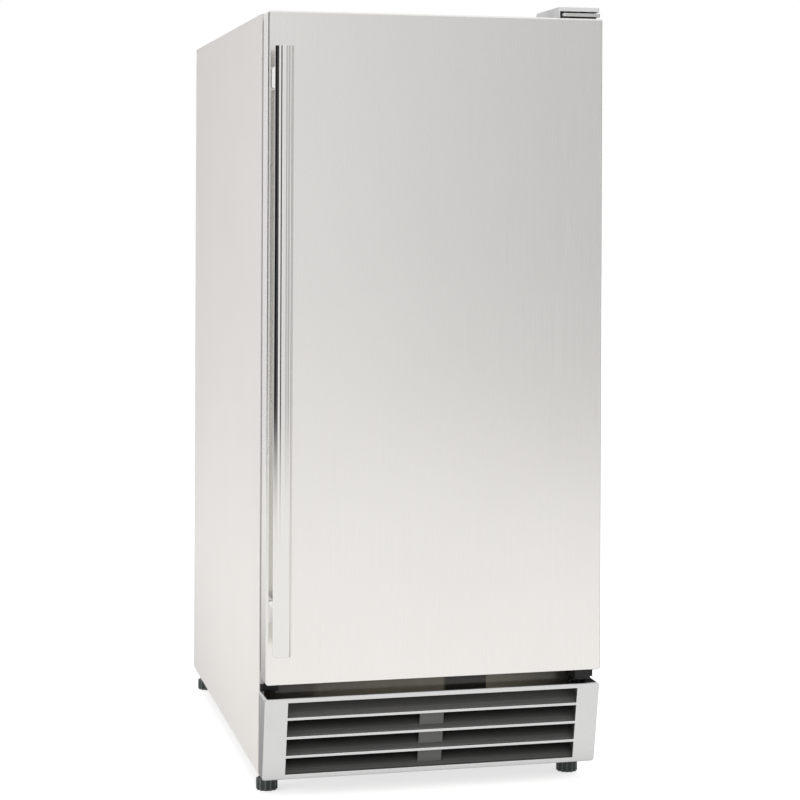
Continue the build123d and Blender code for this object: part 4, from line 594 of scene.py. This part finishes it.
class Bench:
    """The work bench: clears the selection, picks faces by place and settles finished pieces."""

    SEAM = 0.000005

    @staticmethod
    def clear() -> None:
        """Goes to object mode with nothing selected."""
        if bpy.context.mode != "OBJECT":
            bpy.ops.object.mode_set(mode="OBJECT")
        bpy.ops.object.select_all(action="DESELECT")

    @staticmethod
    def only(piece: Piece) -> None:
        """Leaves one piece selected and active.

        Args:
            piece: the piece.
        """
        Bench.clear()
        piece.select_set(True)
        bpy.context.view_layer.objects.active = piece

    @staticmethod
    def started(name: str) -> Piece:
        """Names the primitive that was just added and moves its place into its mesh.

        Args:
            name: the piece's name.

        Returns:
            The piece.
        """
        piece = bpy.context.active_object
        piece.name = name
        bpy.ops.object.transform_apply(location=True, rotation=True, scale=True)
        return piece

    @staticmethod
    def pick(piece: Piece, wanted: Callable[[Vector, Vector], bool]) -> None:
        """Goes to edit mode and selects the faces that are wanted, and no others.

        Args:
            piece: the active piece.
            wanted: tells from a face's centre and normal whether it is wanted.
        """
        if bpy.context.mode != "EDIT_MESH":
            bpy.ops.object.mode_set(mode="EDIT")
        bpy.ops.mesh.select_mode(type="FACE")
        bpy.ops.mesh.select_all(action="DESELECT")
        mesh = bmesh.from_edit_mesh(piece.data)
        for face in mesh.faces:
            face.select_set(wanted(face.calc_center_median(), face.normal))
        bmesh.update_edit_mesh(piece.data)

    @staticmethod
    def facing(direction: Vector) -> Callable[[Vector, Vector], bool]:
        """The test to pick the faces by that look in a direction, which is one unit long."""
        return lambda centre, normal: normal.dot(direction) > FACING

    @staticmethod
    def copied(piece: Piece, name: str, place: Point, turn: Point) -> Piece:
        """Copies a piece with its own mesh and sets the copy in place.

        Args:
            piece: the piece to copy, at the origin.
            name: the copy's name.
            place: where its origin goes, in metres.
            turn: its turn about X, Y and Z in degrees.

        Returns:
            The copy, with its place in its mesh.
        """
        Bench.clear()
        copy = piece.copy()
        copy.data = piece.data.copy()
        copy.name = name
        bpy.context.scene.collection.objects.link(copy)
        copy.location = place
        copy.rotation_euler = tuple(math.radians(angle) for angle in turn)
        Bench.only(copy)
        bpy.ops.object.transform_apply(location=True, rotation=True, scale=True)
        return copy

    @staticmethod
    def repeated(pattern: Piece, places: Iterable[tuple[Point, Point]]) -> list[Piece]:
        """Copies a pattern to each of its places and removes the pattern.

        Args:
            pattern: the piece to copy, at the origin.
            places: where each copy's origin goes, and the copy's turn about X, Y and Z in degrees.

        Returns:
            The copies.
        """
        copies = [
            Bench.copied(pattern, f"{pattern.name}_{number}", place, turn)
            for number, (place, turn) in enumerate(places)
        ]
        bpy.data.objects.remove(pattern, do_unlink=True)
        return copies

    @staticmethod
    def joined(pieces: list[Piece], name: str) -> Piece:
        """Joins copies into one piece.

        Args:
            pieces: the copies.
            name: the name of the piece.

        Returns:
            The joined piece.
        """
        Bench.clear()
        for piece in pieces:
            piece.select_set(True)
        bpy.context.view_layer.objects.active = pieces[0]
        bpy.ops.object.join()
        pieces[0].name = name
        return pieces[0]

    @staticmethod
    def settle(piece: Piece, angle: float = 35.0) -> None:
        """Closes the seams, turns the faces outwards and smooths the round sides.

        Args:
            piece: the finished piece.
            angle: the largest angle in degrees between smoothed faces.
        """
        Bench.only(piece)
        bpy.ops.object.mode_set(mode="EDIT")
        bpy.ops.mesh.select_all(action="SELECT")
        bpy.ops.mesh.remove_doubles(threshold=Bench.SEAM)
        bpy.ops.mesh.normals_make_consistent(inside=False)
        bpy.ops.object.mode_set(mode="OBJECT")
        bpy.ops.object.shade_smooth_by_angle(angle=math.radians(angle))

    @staticmethod
    def cut(piece: Piece, cutter: Piece) -> None:
        """Cuts a shape out of a piece and removes the cutter.

        Args:
            piece: the piece that is cut.
            cutter: the shape to take away.
        """
        Bench.only(piece)
        boolean = piece.modifiers.new("cut", "BOOLEAN")
        boolean.operation = "DIFFERENCE"
        boolean.solver = "EXACT"
        boolean.object = cutter
        bpy.ops.object.modifier_apply(modifier=boolean.name)
        bpy.data.objects.remove(cutter, do_unlink=True)


@dataclass
class PanScrew:
    """A pan head screw with a cross recess, standing on the origin with its head up.

    Attributes:
        head_radius, head_height: the size of the head.
        crown: how far the head's rim is rounded.
        shank_radius, shank_length: the size of the shank.
        tip: how far the shank narrows at its end.
        recess_length, recess_width, recess_depth: the size of each slot of the recess.
        recess_taper: the size of its floor against its mouth.
        sides, crown_steps, tip_steps: the number of flats round it, and of steps in its crown and tip.
    """

    head_radius: float = 0.0044
    head_height: float = 0.0024
    crown: float = 0.0011
    shank_radius: float = 0.0025
    shank_length: float = 0.012
    tip: float = 0.001
    recess_length: float = 0.0046
    recess_width: float = 0.0010
    recess_depth: float = 0.0012
    recess_taper: float = 0.7
    sides: int = 32
    crown_steps: int = 4
    tip_steps: int = 2

    def build(self, name: str) -> Piece:
        """Models the screw.

        Args:
            name: the piece's name.

        Returns:
            The screw.
        """
        Bench.clear()
        bpy.ops.mesh.primitive_cylinder_add(
            vertices=self.sides, radius=self.head_radius, depth=self.head_height,
            location=(0.0, 0.0, self.head_height / 2),
        )
        screw = Bench.started(name)
        Bench.pick(screw, Bench.facing(UP))
        bpy.ops.mesh.bevel(offset=self.crown, segments=self.crown_steps, profile=0.5, affect="EDGES")
        Bench.pick(screw, Bench.facing(DOWN))
        bpy.ops.mesh.inset(thickness=self.head_radius - self.shank_radius)
        near_axis = self.shank_radius / 2
        Bench.pick(screw, lambda centre, normal: normal.z < -FACING and centre.xy.length < near_axis)
        bpy.ops.mesh.extrude_region_move(TRANSFORM_OT_translate={"value": (0.0, 0.0, -self.shank_length)})
        bpy.ops.mesh.bevel(offset=self.tip, segments=self.tip_steps, affect="EDGES")
        bpy.ops.object.mode_set(mode="OBJECT")
        for slot in ((self.recess_length, self.recess_width), (self.recess_width, self.recess_length)):
            Bench.clear()
            bpy.ops.mesh.primitive_cube_add(
                size=1.0, location=(0.0, 0.0, self.head_height), scale=(*slot, 2 * self.recess_depth)
            )
            cutter = Bench.started("recess_cutter")
            Bench.pick(cutter, Bench.facing(DOWN))
            bpy.ops.transform.resize(value=(self.recess_taper, self.recess_taper, 1.0))
            bpy.ops.object.mode_set(mode="OBJECT")
            Bench.cut(screw, cutter)
        Bench.settle(screw)
        return screw


@dataclass
class HingeScrews:
    """The pan head screws that hold the hinges, in place of the plain ones.

    Attributes:
        top_places: X and Y of the screws through the top plate.
        top_seat: the height of its upper face.
        sill_places: X and Z of the screws through the bottom bracket.
        sill_seat: Y of its front face.
        top_length, sill_length: the lengths of their shanks.
        top_turn, sill_turn: how much further each screw is turned than the one before, in degrees.
    """

    top_places: tuple[tuple[float, float], ...] = ((0.156, -0.2067), (0.178, -0.2067), (0.167, -0.1917))
    top_seat: float = 0.8649
    top_length: float = 0.0184
    top_turn: float = 37.0
    sill_places: tuple[tuple[float, float], ...] = ((0.1702, 0.1095), (0.1804, 0.1095))
    sill_seat: float = -0.2257
    sill_length: float = 0.012
    sill_turn: float = 25.0

    def build(self, shop: FinishShop) -> Piece:
        """Models both kinds of screw once and copies them into their holes.

        Args:
            shop: where the finish comes from.

        Returns:
            The set of screws.
        """
        screws = Bench.repeated(
            PanScrew(shank_length=self.top_length).build("top_hinge_screw"),
            [
                ((x, y, self.top_seat), (0.0, 0.0, self.top_turn * number))
                for number, (x, y) in enumerate(self.top_places)
            ],
        )
        screws += Bench.repeated(
            PanScrew(shank_length=self.sill_length).build("sill_hinge_screw"),
            [
                ((x, self.sill_seat, z), (90.0, self.sill_turn * number, 0.0))
                for number, (x, z) in enumerate(self.sill_places)
            ],
        )
        piece = Bench.joined(screws, "hinge_screw_set")
        shop.dress(piece, SCREW_BLACK)
        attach(piece, "cabinet")
        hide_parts("hinge_screws")
        return piece


@dataclass
class RearFixings:
    """The small screws that hold the rear cover, on its recessed face.

    Attributes:
        places: X and Z of each screw.
        face: Y of the cover's outer face.
        turn: how much further each screw is turned than the one before, in degrees.
        screw: the kind of screw.
    """

    places: tuple[tuple[float, float], ...] = (
        (-0.172, 0.046), (0.172, 0.046), (-0.172, 0.132), (0.172, 0.132), (-0.172, 0.220), (0.172, 0.220),
    )
    face: float = 0.3063
    turn: float = 30.0
    screw: PanScrew = field(
        default_factory=lambda: PanScrew(
            head_radius=0.0038, head_height=0.002, crown=0.0009, shank_radius=0.0018, shank_length=0.006,
            recess_length=0.0040, recess_depth=0.001,
        )
    )

    def build(self, shop: FinishShop) -> Piece:
        """Models one screw and copies it round the cover.

        Args:
            shop: where the finish comes from.

        Returns:
            The set of screws.
        """
        screws = Bench.repeated(
            self.screw.build("rear_screw"),
            [
                ((x, self.face, z), (-90.0, self.turn * number, 0.0))
                for number, (x, z) in enumerate(self.places)
            ],
        )
        piece = Bench.joined(screws, "rear_cover_screws")
        shop.dress(piece, GALVANISED)
        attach(piece, "cabinet")
        return piece


@dataclass
class DoorSeal:
    """The door's magnetic seal: a folded profile all round with mitred, welded corners.

    Attributes:
        left, right: X of its left and right edge.
        low, high: the height of its lower and upper edge.
        door_back: Y of the door's face that it is pressed into.
        smooth: the largest angle in degrees between smoothed faces.
        profile: the section, as distances inwards from the outer edge and backwards from the door.
    """

    left: float = -0.1875
    right: float = 0.169
    low: float = 0.1385
    high: float = 0.8515
    door_back: float = -0.2353
    smooth: float = 40.0
    profile: tuple[tuple[float, float], ...] = (
        (0.0012, 0.0), (0.0150, 0.0), (0.0150, 0.0018), (0.0095, 0.0018), (0.0095, 0.0030), (0.0140, 0.0042),
        (0.0144, 0.0054), (0.0100, 0.0066), (0.0100, 0.0072), (0.0146, 0.0080), (0.0150, 0.0088),
        (0.0150, 0.0116), (0.0144, 0.0123), (0.0008, 0.0123), (0.0, 0.0116), (0.0, 0.0086), (0.0007, 0.0078),
        (0.0046, 0.0072), (0.0046, 0.0066), (0.0010, 0.0056), (0.0010, 0.0046), (0.0046, 0.0034),
        (0.0046, 0.0018), (0.0012, 0.0018),
    )

    def build(self, shop: FinishShop) -> Piece:
        """Runs the section round the door by extruding it along each side and turning it at each corner.

        Args:
            shop: where the finish comes from.

        Returns:
            The seal.
        """
        Bench.clear()
        bpy.ops.mesh.primitive_circle_add(vertices=len(self.profile), radius=0.01, fill_type="NOTHING")
        seal = Bench.started("door_seal")
        for vertex, (inwards, depth) in zip(seal.data.vertices, self.profile):
            vertex.co = (self.left + inwards, self.door_back + depth, self.low + inwards)
        bpy.ops.object.mode_set(mode="EDIT")
        bpy.ops.mesh.select_mode(type="EDGE")
        bpy.ops.mesh.select_all(action="SELECT")
        width = self.right - self.left
        height = self.high - self.low
        sides = (
            ((0.0, 0.0, height), (1.0, 1.0, -1.0), (self.left, 0.0, self.high)),
            ((width, 0.0, 0.0), (-1.0, 1.0, 1.0), (self.right, 0.0, self.high)),
            ((0.0, 0.0, -height), (1.0, 1.0, -1.0), (self.right, 0.0, self.low)),
            ((-width, 0.0, 0.0), (-1.0, 1.0, 1.0), (self.left, 0.0, self.low)),
        )
        for run, turn, corner in sides:
            bpy.ops.mesh.extrude_region_move(TRANSFORM_OT_translate={"value": run})
            bpy.ops.transform.resize(value=turn, center_override=corner)
        bpy.ops.object.mode_set(mode="OBJECT")
        Bench.settle(seal, self.smooth)
        shop.dress(seal, SEAL_RUBBER)
        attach(seal, "door")
        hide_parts("door_gasket")
        return seal


@dataclass
class KnobDial:
    """The raised marks on the thermostat knob and the fixed mark above it.

    Attributes:
        centre: X and Z of the knob's axis.
        skirt, ridge, housing: Y of the fronts of the knob's skirt and ridge and of the housing.
        mark_radius: the distance of the skirt's marks from the axis.
        mark_size: width, height above the skirt and length of a mark.
        turns: the angle of each mark in degrees from the top.
        pointer_rise: the distance of the pointer's centre from the axis.
        pointer_size: width, height above the ridge and length of the pointer.
        fixed_rise: the distance of the fixed mark from the axis.
        fixed_radius, fixed_height: the reach of its corners and its thickness.
        rounding, rounding_steps: how far the front edges are rounded, and in how many steps.
    """

    centre: tuple[float, float] = (0.038, 0.7945)
    skirt: float = -0.1935
    ridge: float = -0.2007
    housing: float = -0.1867
    mark_radius: float = 0.0155
    mark_size: Point = (0.0007, 0.0006, 0.0020)
    turns: tuple[float, ...] = (-135.0, -90.0, -45.0, 0.0, 45.0, 90.0, 135.0)
    pointer_rise: float = 0.0085
    pointer_size: Point = (0.0012, 0.0006, 0.0060)
    fixed_rise: float = 0.0196
    fixed_radius: float = 0.0018
    fixed_height: float = 0.0006
    rounding: float = 0.00015
    rounding_steps: int = 2

    def build(self, shop: FinishShop) -> list[Piece]:
        """Models one mark and copies it round the skirt, then the pointer and the fixed mark.

        Args:
            shop: where the finish comes from.

        Returns:
            The knob's marks and the housing's mark.
        """
        x, z = self.centre
        marks = Bench.repeated(
            self._bar("dial_mark", (0.0, 0.0, self.mark_radius), self.mark_size),
            [((x, self.skirt, z), (0.0, turn, 0.0)) for turn in self.turns],
        )
        marks.append(self._bar("dial_pointer", (x, self.ridge, z + self.pointer_rise), self.pointer_size))
        moving = Bench.joined(marks, "dial_marks")
        Bench.settle(moving)
        Bench.clear()
        bpy.ops.mesh.primitive_cylinder_add(
            vertices=3, radius=self.fixed_radius, depth=self.fixed_height,
            location=(x, self.housing, z + self.fixed_rise), rotation=(math.radians(90.0), 0.0, 0.0),
        )
        fixed = Bench.started("housing_mark")
        self._round_front(fixed)
        Bench.settle(fixed)
        for piece, body in ((moving, "thermostat_knob"), (fixed, "cabinet")):
            shop.dress(piece, DIAL_INK)
            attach(piece, body)
        return [moving, fixed]

    def _round_front(self, piece: Piece) -> None:
        """Rounds the edges of a piece's front face.

        Args:
            piece: the active piece.
        """
        Bench.pick(piece, Bench.facing(FRONT))
        bpy.ops.mesh.bevel(offset=self.rounding, segments=self.rounding_steps, affect="EDGES")
        bpy.ops.object.mode_set(mode="OBJECT")

    def _bar(self, name: str, place: Point, size: Point) -> Piece:
        """Models a small bar with rounded front edges.

        Args:
            name: the piece's name.
            place: its centre.
            size: its width, depth and length.

        Returns:
            The bar.
        """
        Bench.clear()
        bpy.ops.mesh.primitive_cube_add(size=1.0, location=place, scale=size)
        bar = Bench.started(name)
        self._round_front(bar)
        return bar


@dataclass(frozen=True)
class CameraFit:
    """The photograph's camera, worked out from the object's corners.

    Attributes:
        place: the camera's position in metres.
        yaw: degrees turned from +Y towards +X.
        pitch: degrees above the horizon.
        roll: degrees turned about the view, clockwise in the picture.
        focal, picture: the focal length and the picture's side in pixels.
        centre: where the view axis meets the picture, in pixels.
        sensor: the sensor's side in millimetres.
        nearest: the nearest distance that it sees, in metres.
    """

    place: Point = (-0.5533, -2.4433, 0.6475)
    yaw: float = 13.41
    pitch: float = 0.27
    roll: float = 0.24
    focal: float = 2045.9
    centre: tuple[float, float] = (407.3, 197.05)
    picture: float = 800.0
    sensor: float = 36.0
    nearest: float = 0.05


@dataclass(frozen=True)
class Softbox:
    """A rectangular studio light that glossy surfaces don't show.

    Attributes:
        name: the light's name.
        place: its centre in metres.
        aim: the point that it faces.
        size: width and height in metres.
        power: its power in watts.
    """

    name: str
    place: Point
    aim: Point
    size: tuple[float, float]
    power: float


@dataclass(frozen=True)
class WallPanel:
    """An upright panel of the ring round the object, which only glossy surfaces show.

    Attributes:
        name: what the panel is.
        start, end: compass angles of its ends in degrees; 0 is straight in front, left is negative.
        left, right: its brightness at each end.
    """

    name: str
    start: float
    end: float
    left: float
    right: float


SOFTBOXES = (
    Softbox("softbox_left", (-2.6, -0.8, 0.75), (0.0, 0.0, -0.10), (1.6, 1.0), 20.0),
    Softbox("low_strip_left", (-0.60, 0.05, 0.05), (0.0, 0.05, 0.05), (1.0, 0.08), 0.72),
    Softbox("softbox_front", (0.4, -2.6, 1.9), (0.0, 0.0, 0.4), (2.0, 1.4), 18.0),
    Softbox("softbox_top", (0.0, -0.4, 2.8), (0.0, 0.0, 0.0), (2.4, 2.4), 24.0),
)

STUDIO_RING = (
    WallPanel("white board behind on the left", -180.0, -159.0, 0.95, 0.95),
    WallPanel("black flag on the left", -159.0, -106.0, 0.015, 0.015),
    WallPanel("dim wall on the left", -106.0, -76.0, 0.06, 0.09),
    WallPanel("strip light on the left", -76.0, -58.0, 1.0, 1.0),
    WallPanel("soft edge of the strip light", -58.0, -48.0, 0.80, 0.70),
    WallPanel("narrow black flag", -48.0, -34.0, 0.02, 0.02),
    WallPanel("white board in front on the left", -34.0, -22.0, 0.97, 0.95),
    WallPanel("white sheet in front", -22.0, 8.0, 0.84, 0.87),
    WallPanel("white sheet falling off", 8.0, 24.0, 0.87, 0.44),
    WallPanel("grey board in front on the right", 24.0, 31.0, 0.52, 0.56),
    WallPanel("pale board in front on the right", 31.0, 43.0, 0.84, 0.82),
    WallPanel("dim board on the right", 43.0, 70.0, 0.56, 0.54),
    WallPanel("strip light on the right", 70.0, 88.0, 0.95, 0.92),
    WallPanel("grey wall on the right", 88.0, 106.0, 0.30, 0.24),
    WallPanel("dim wall behind on the right", 106.0, 158.0, 0.07, 0.09),
    WallPanel("white board behind on the right", 158.0, 180.0, 0.80, 0.90),
)


@dataclass(frozen=True)
class StudioLook:
    """The floor and the surroundings.

    Attributes:
        panel_edge: the width of a panel's soft end in degrees.
        floor_side, floor_colour, floor_rough, floor_specular: the floor's size and finish.
        floor_lift: the light that only the camera sees the floor give off.
        ring_centre: what takes a place on the floor to its distance from the object's front.
        glow: the colour that glossy surfaces see of the floor close by.
        glow_reach: where it starts to change to the ring's, and ends.
        shaded: the colour that they see of the floor under the object.
        shaded_right_of: X where the shaded part starts, and is full.
        shaded_behind: Y where it starts, and is full.
        white_above: the heights between which the reflected ring changes to white.
        soft, soft_strength: the colour and strength of the soft light from all round.
    """

    panel_edge: float = 1.2
    floor_side: float = 30.0
    floor_colour: tuple[float, ...] = (0.80, 0.79, 0.775, 1.0)
    floor_rough: float = 0.9
    floor_specular: float = 0.1
    floor_lift: float = 0.64
    ring_centre: Point = (0.0, 0.27, 0.0)
    glow: tuple[float, ...] = (1.0, 0.995, 0.98, 1.0)
    glow_reach: tuple[float, float] = (1.7, 4.6)
    shaded: tuple[float, ...] = (0.30, 0.30, 0.30, 1.0)
    shaded_right_of: tuple[float, float] = (-0.42, -0.30)
    shaded_behind: tuple[float, float] = (-0.30, -0.22)
    white_above: tuple[float, float] = (0.35, 0.7)
    soft: tuple[float, ...] = (0.94, 0.94, 0.95, 1.0)
    soft_strength: float = 0.56


class Studio:
    """Camera, floor, world and lights."""

    def __init__(self, fit: CameraFit, look: StudioLook) -> None:
        """Keeps the settings and makes the ring.

        Args:
            fit: the camera.
            look: the floor and the surroundings.
        """
        self.fit = fit
        self.look = look
        self.ring = self._ring_group()

    def build(self) -> None:
        """Makes the whole studio."""
        self._camera()
        self._floor()
        self._world()
        for box in SOFTBOXES:
            self._light(box)

    def _camera(self) -> None:
        """Places the camera as in the photograph."""
        data = bpy.data.cameras.new("photo_camera")
        camera = bpy.data.objects.new("photo_camera", data)
        bpy.context.scene.collection.objects.link(camera)
        bpy.context.scene.camera = camera
        data.sensor_fit = "HORIZONTAL"
        data.sensor_width = self.fit.sensor
        data.lens = self.fit.focal / self.fit.picture * self.fit.sensor
        half = self.fit.picture / 2
        data.shift_x = (half - self.fit.centre[0]) / self.fit.picture
        data.shift_y = (self.fit.centre[1] - half) / self.fit.picture
        data.clip_start = self.fit.nearest
        camera.location = self.fit.place
        camera.rotation_mode = "XYZ"
        camera.rotation_euler = (
            math.radians(90.0 + self.fit.pitch), math.radians(-self.fit.roll), math.radians(-self.fit.yaw),
        )
        log.info("camera lens %.1f mm", data.lens)

    def _ring_group(self) -> Tree:
        """Makes the ring of panels as a colour by compass angle, each panel with narrow soft ends.

        Returns:
            A group with the input Vector, a direction or a place, and the output Color.
        """
        stops = []
        for panel in STUDIO_RING:
            stops.append((panel.start + self.look.panel_edge, panel.left))
            stops.append((panel.end - self.look.panel_edge, panel.right))
            log.info("%s from %.0f to %.0f degrees", panel.name, panel.start, panel.end)
        wiring = Wiring.group("studio_ring", {"Vector": VECTOR}, ("Color", COLOUR))
        source = wiring.add("NodeGroupInput")
        place = wiring.add("ShaderNodeSeparateXYZ", {0: source.outputs["Vector"]}).outputs
        angle = wiring.maths("ARCTAN2", place["X"], wiring.maths("MULTIPLY", place["Y"], -1.0))
        turn = wiring.ranged(angle, (-math.pi, math.pi))
        grey = wiring.graded(turn, [((degrees + 180.0) / 360.0, value) for degrees, value in stops])
        wiring.add("NodeGroupOutput", {"Color": grey})
        return wiring.tree

    def _floor(self) -> None:
        """Lays a pale floor that the camera sees as white, with the object's shadow on it.

        Glossy surfaces see it as bright close to the object and like the ring further away.
        """
        Bench.clear()
        bpy.ops.mesh.primitive_plane_add(size=self.look.floor_side, location=(0.0, 0.0, 0.0))
        floor = bpy.context.active_object
        floor.name = "studio_floor"
        material = bpy.data.materials.new("studio_floor")
        material.use_nodes = True
        wiring = Wiring(material.node_tree)
        shader = material.node_tree.nodes["Principled BSDF"]
        wiring.feed(
            shader,
            {
                "Base Color": self.look.floor_colour,
                "Roughness": self.look.floor_rough,
                "Specular IOR Level": self.look.floor_specular,
            },
        )
        plain = shader.outputs["BSDF"]
        rays = wiring.add("ShaderNodeLightPath").outputs
        lift = wiring.add("ShaderNodeEmission", {"Color": WHITE, "Strength": self.look.floor_lift})
        lifted = wiring.add("ShaderNodeAddShader", {0: plain, 1: lift.outputs["Emission"]}).outputs[0]
        seen = wiring.chosen(rays["Is Camera Ray"], plain, lifted)
        surface = wiring.chosen(rays["Is Glossy Ray"], seen, self._mirrored_floor(wiring))
        wiring.feed(material.node_tree.nodes["Material Output"], {"Surface": surface})
        floor.data.materials.append(material)

    def _mirrored_floor(self, wiring: Wiring) -> Socket:
        """Adds what glossy surfaces see of the floor.

        Args:
            wiring: the wiring of the floor's material.

        Returns:
            The shader output to link.
        """
        place = wiring.add("ShaderNodeTexCoord").outputs["Object"]
        centred = wiring.vector("ADD", place, self.look.ring_centre).outputs[0]
        distance = wiring.vector("LENGTH", centred).outputs["Value"]
        far = wiring.ranged(distance, self.look.glow_reach, smooth=True)
        open_floor = wiring.blended(far, self.look.glow, wiring.effect(self.ring, {"Vector": centred}))
        split = wiring.add("ShaderNodeSeparateXYZ", {0: place}).outputs
        under = wiring.maths(
            "MULTIPLY",
            wiring.ranged(split["X"], self.look.shaded_right_of, smooth=True),
            wiring.ranged(split["Y"], self.look.shaded_behind, smooth=True),
        )
        colour = wiring.blended(under, open_floor, self.look.shaded)
        return wiring.add("ShaderNodeEmission", {"Color": colour}).outputs["Emission"]

    def _world(self) -> None:
        """A white backdrop for the camera, the ring of panels for what is glossy, soft light for the rest."""
        world = bpy.data.worlds.new("studio")
        bpy.context.scene.world = world
        world.use_nodes = True
        world.node_tree.nodes.clear()
        wiring = Wiring(world.node_tree)
        view = wiring.add("ShaderNodeTexCoord").outputs["Generated"]
        height = wiring.add("ShaderNodeSeparateXYZ", {0: view}).outputs["Z"]
        above = wiring.ranged(height, self.look.white_above)
        colour = wiring.blended(above, wiring.effect(self.ring, {"Vector": view}), WHITE)
        rays = wiring.add("ShaderNodeLightPath").outputs
        glossy = wiring.add("ShaderNodeBackground", {"Color": colour}).outputs[0]
        soft = wiring.add(
            "ShaderNodeBackground", {"Color": self.look.soft, "Strength": self.look.soft_strength}
        ).outputs[0]
        seen = wiring.add("ShaderNodeBackground", {"Color": WHITE, "Strength": 1.0}).outputs[0]
        lit = wiring.chosen(rays["Is Glossy Ray"], soft, glossy)
        wiring.add("ShaderNodeOutputWorld", {"Surface": wiring.chosen(rays["Is Camera Ray"], lit, seen)})

    @staticmethod
    def _light(box: Softbox) -> None:
        """Hangs one softbox.

        Args:
            box: the softbox.
        """
        data = bpy.data.lights.new(box.name, "AREA")
        data.shape = "RECTANGLE"
        data.size, data.size_y = box.size
        data.energy = box.power
        light = bpy.data.objects.new(box.name, data)
        bpy.context.scene.collection.objects.link(light)
        light.location = box.place
        direction = Vector(box.aim) - Vector(box.place)
        light.rotation_euler = direction.to_track_quat("-Z", "Y").to_euler()
        light.visible_camera = False
        light.visible_glossy = False


def main() -> None:
    """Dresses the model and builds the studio."""
    bpy.context.scene.view_settings.view_transform = "Standard"
    shop = FinishShop()
    shop.dress_nodes()
    for maker in (HingeScrews(), RearFixings(), DoorSeal()):
        log.info("%s built", maker.build(shop).name)
    for piece in KnobDial().build(shop):
        log.info("%s built", piece.name)
    Studio(CameraFit(), StudioLook()).build()


if __name__ == "__main__":
    main()
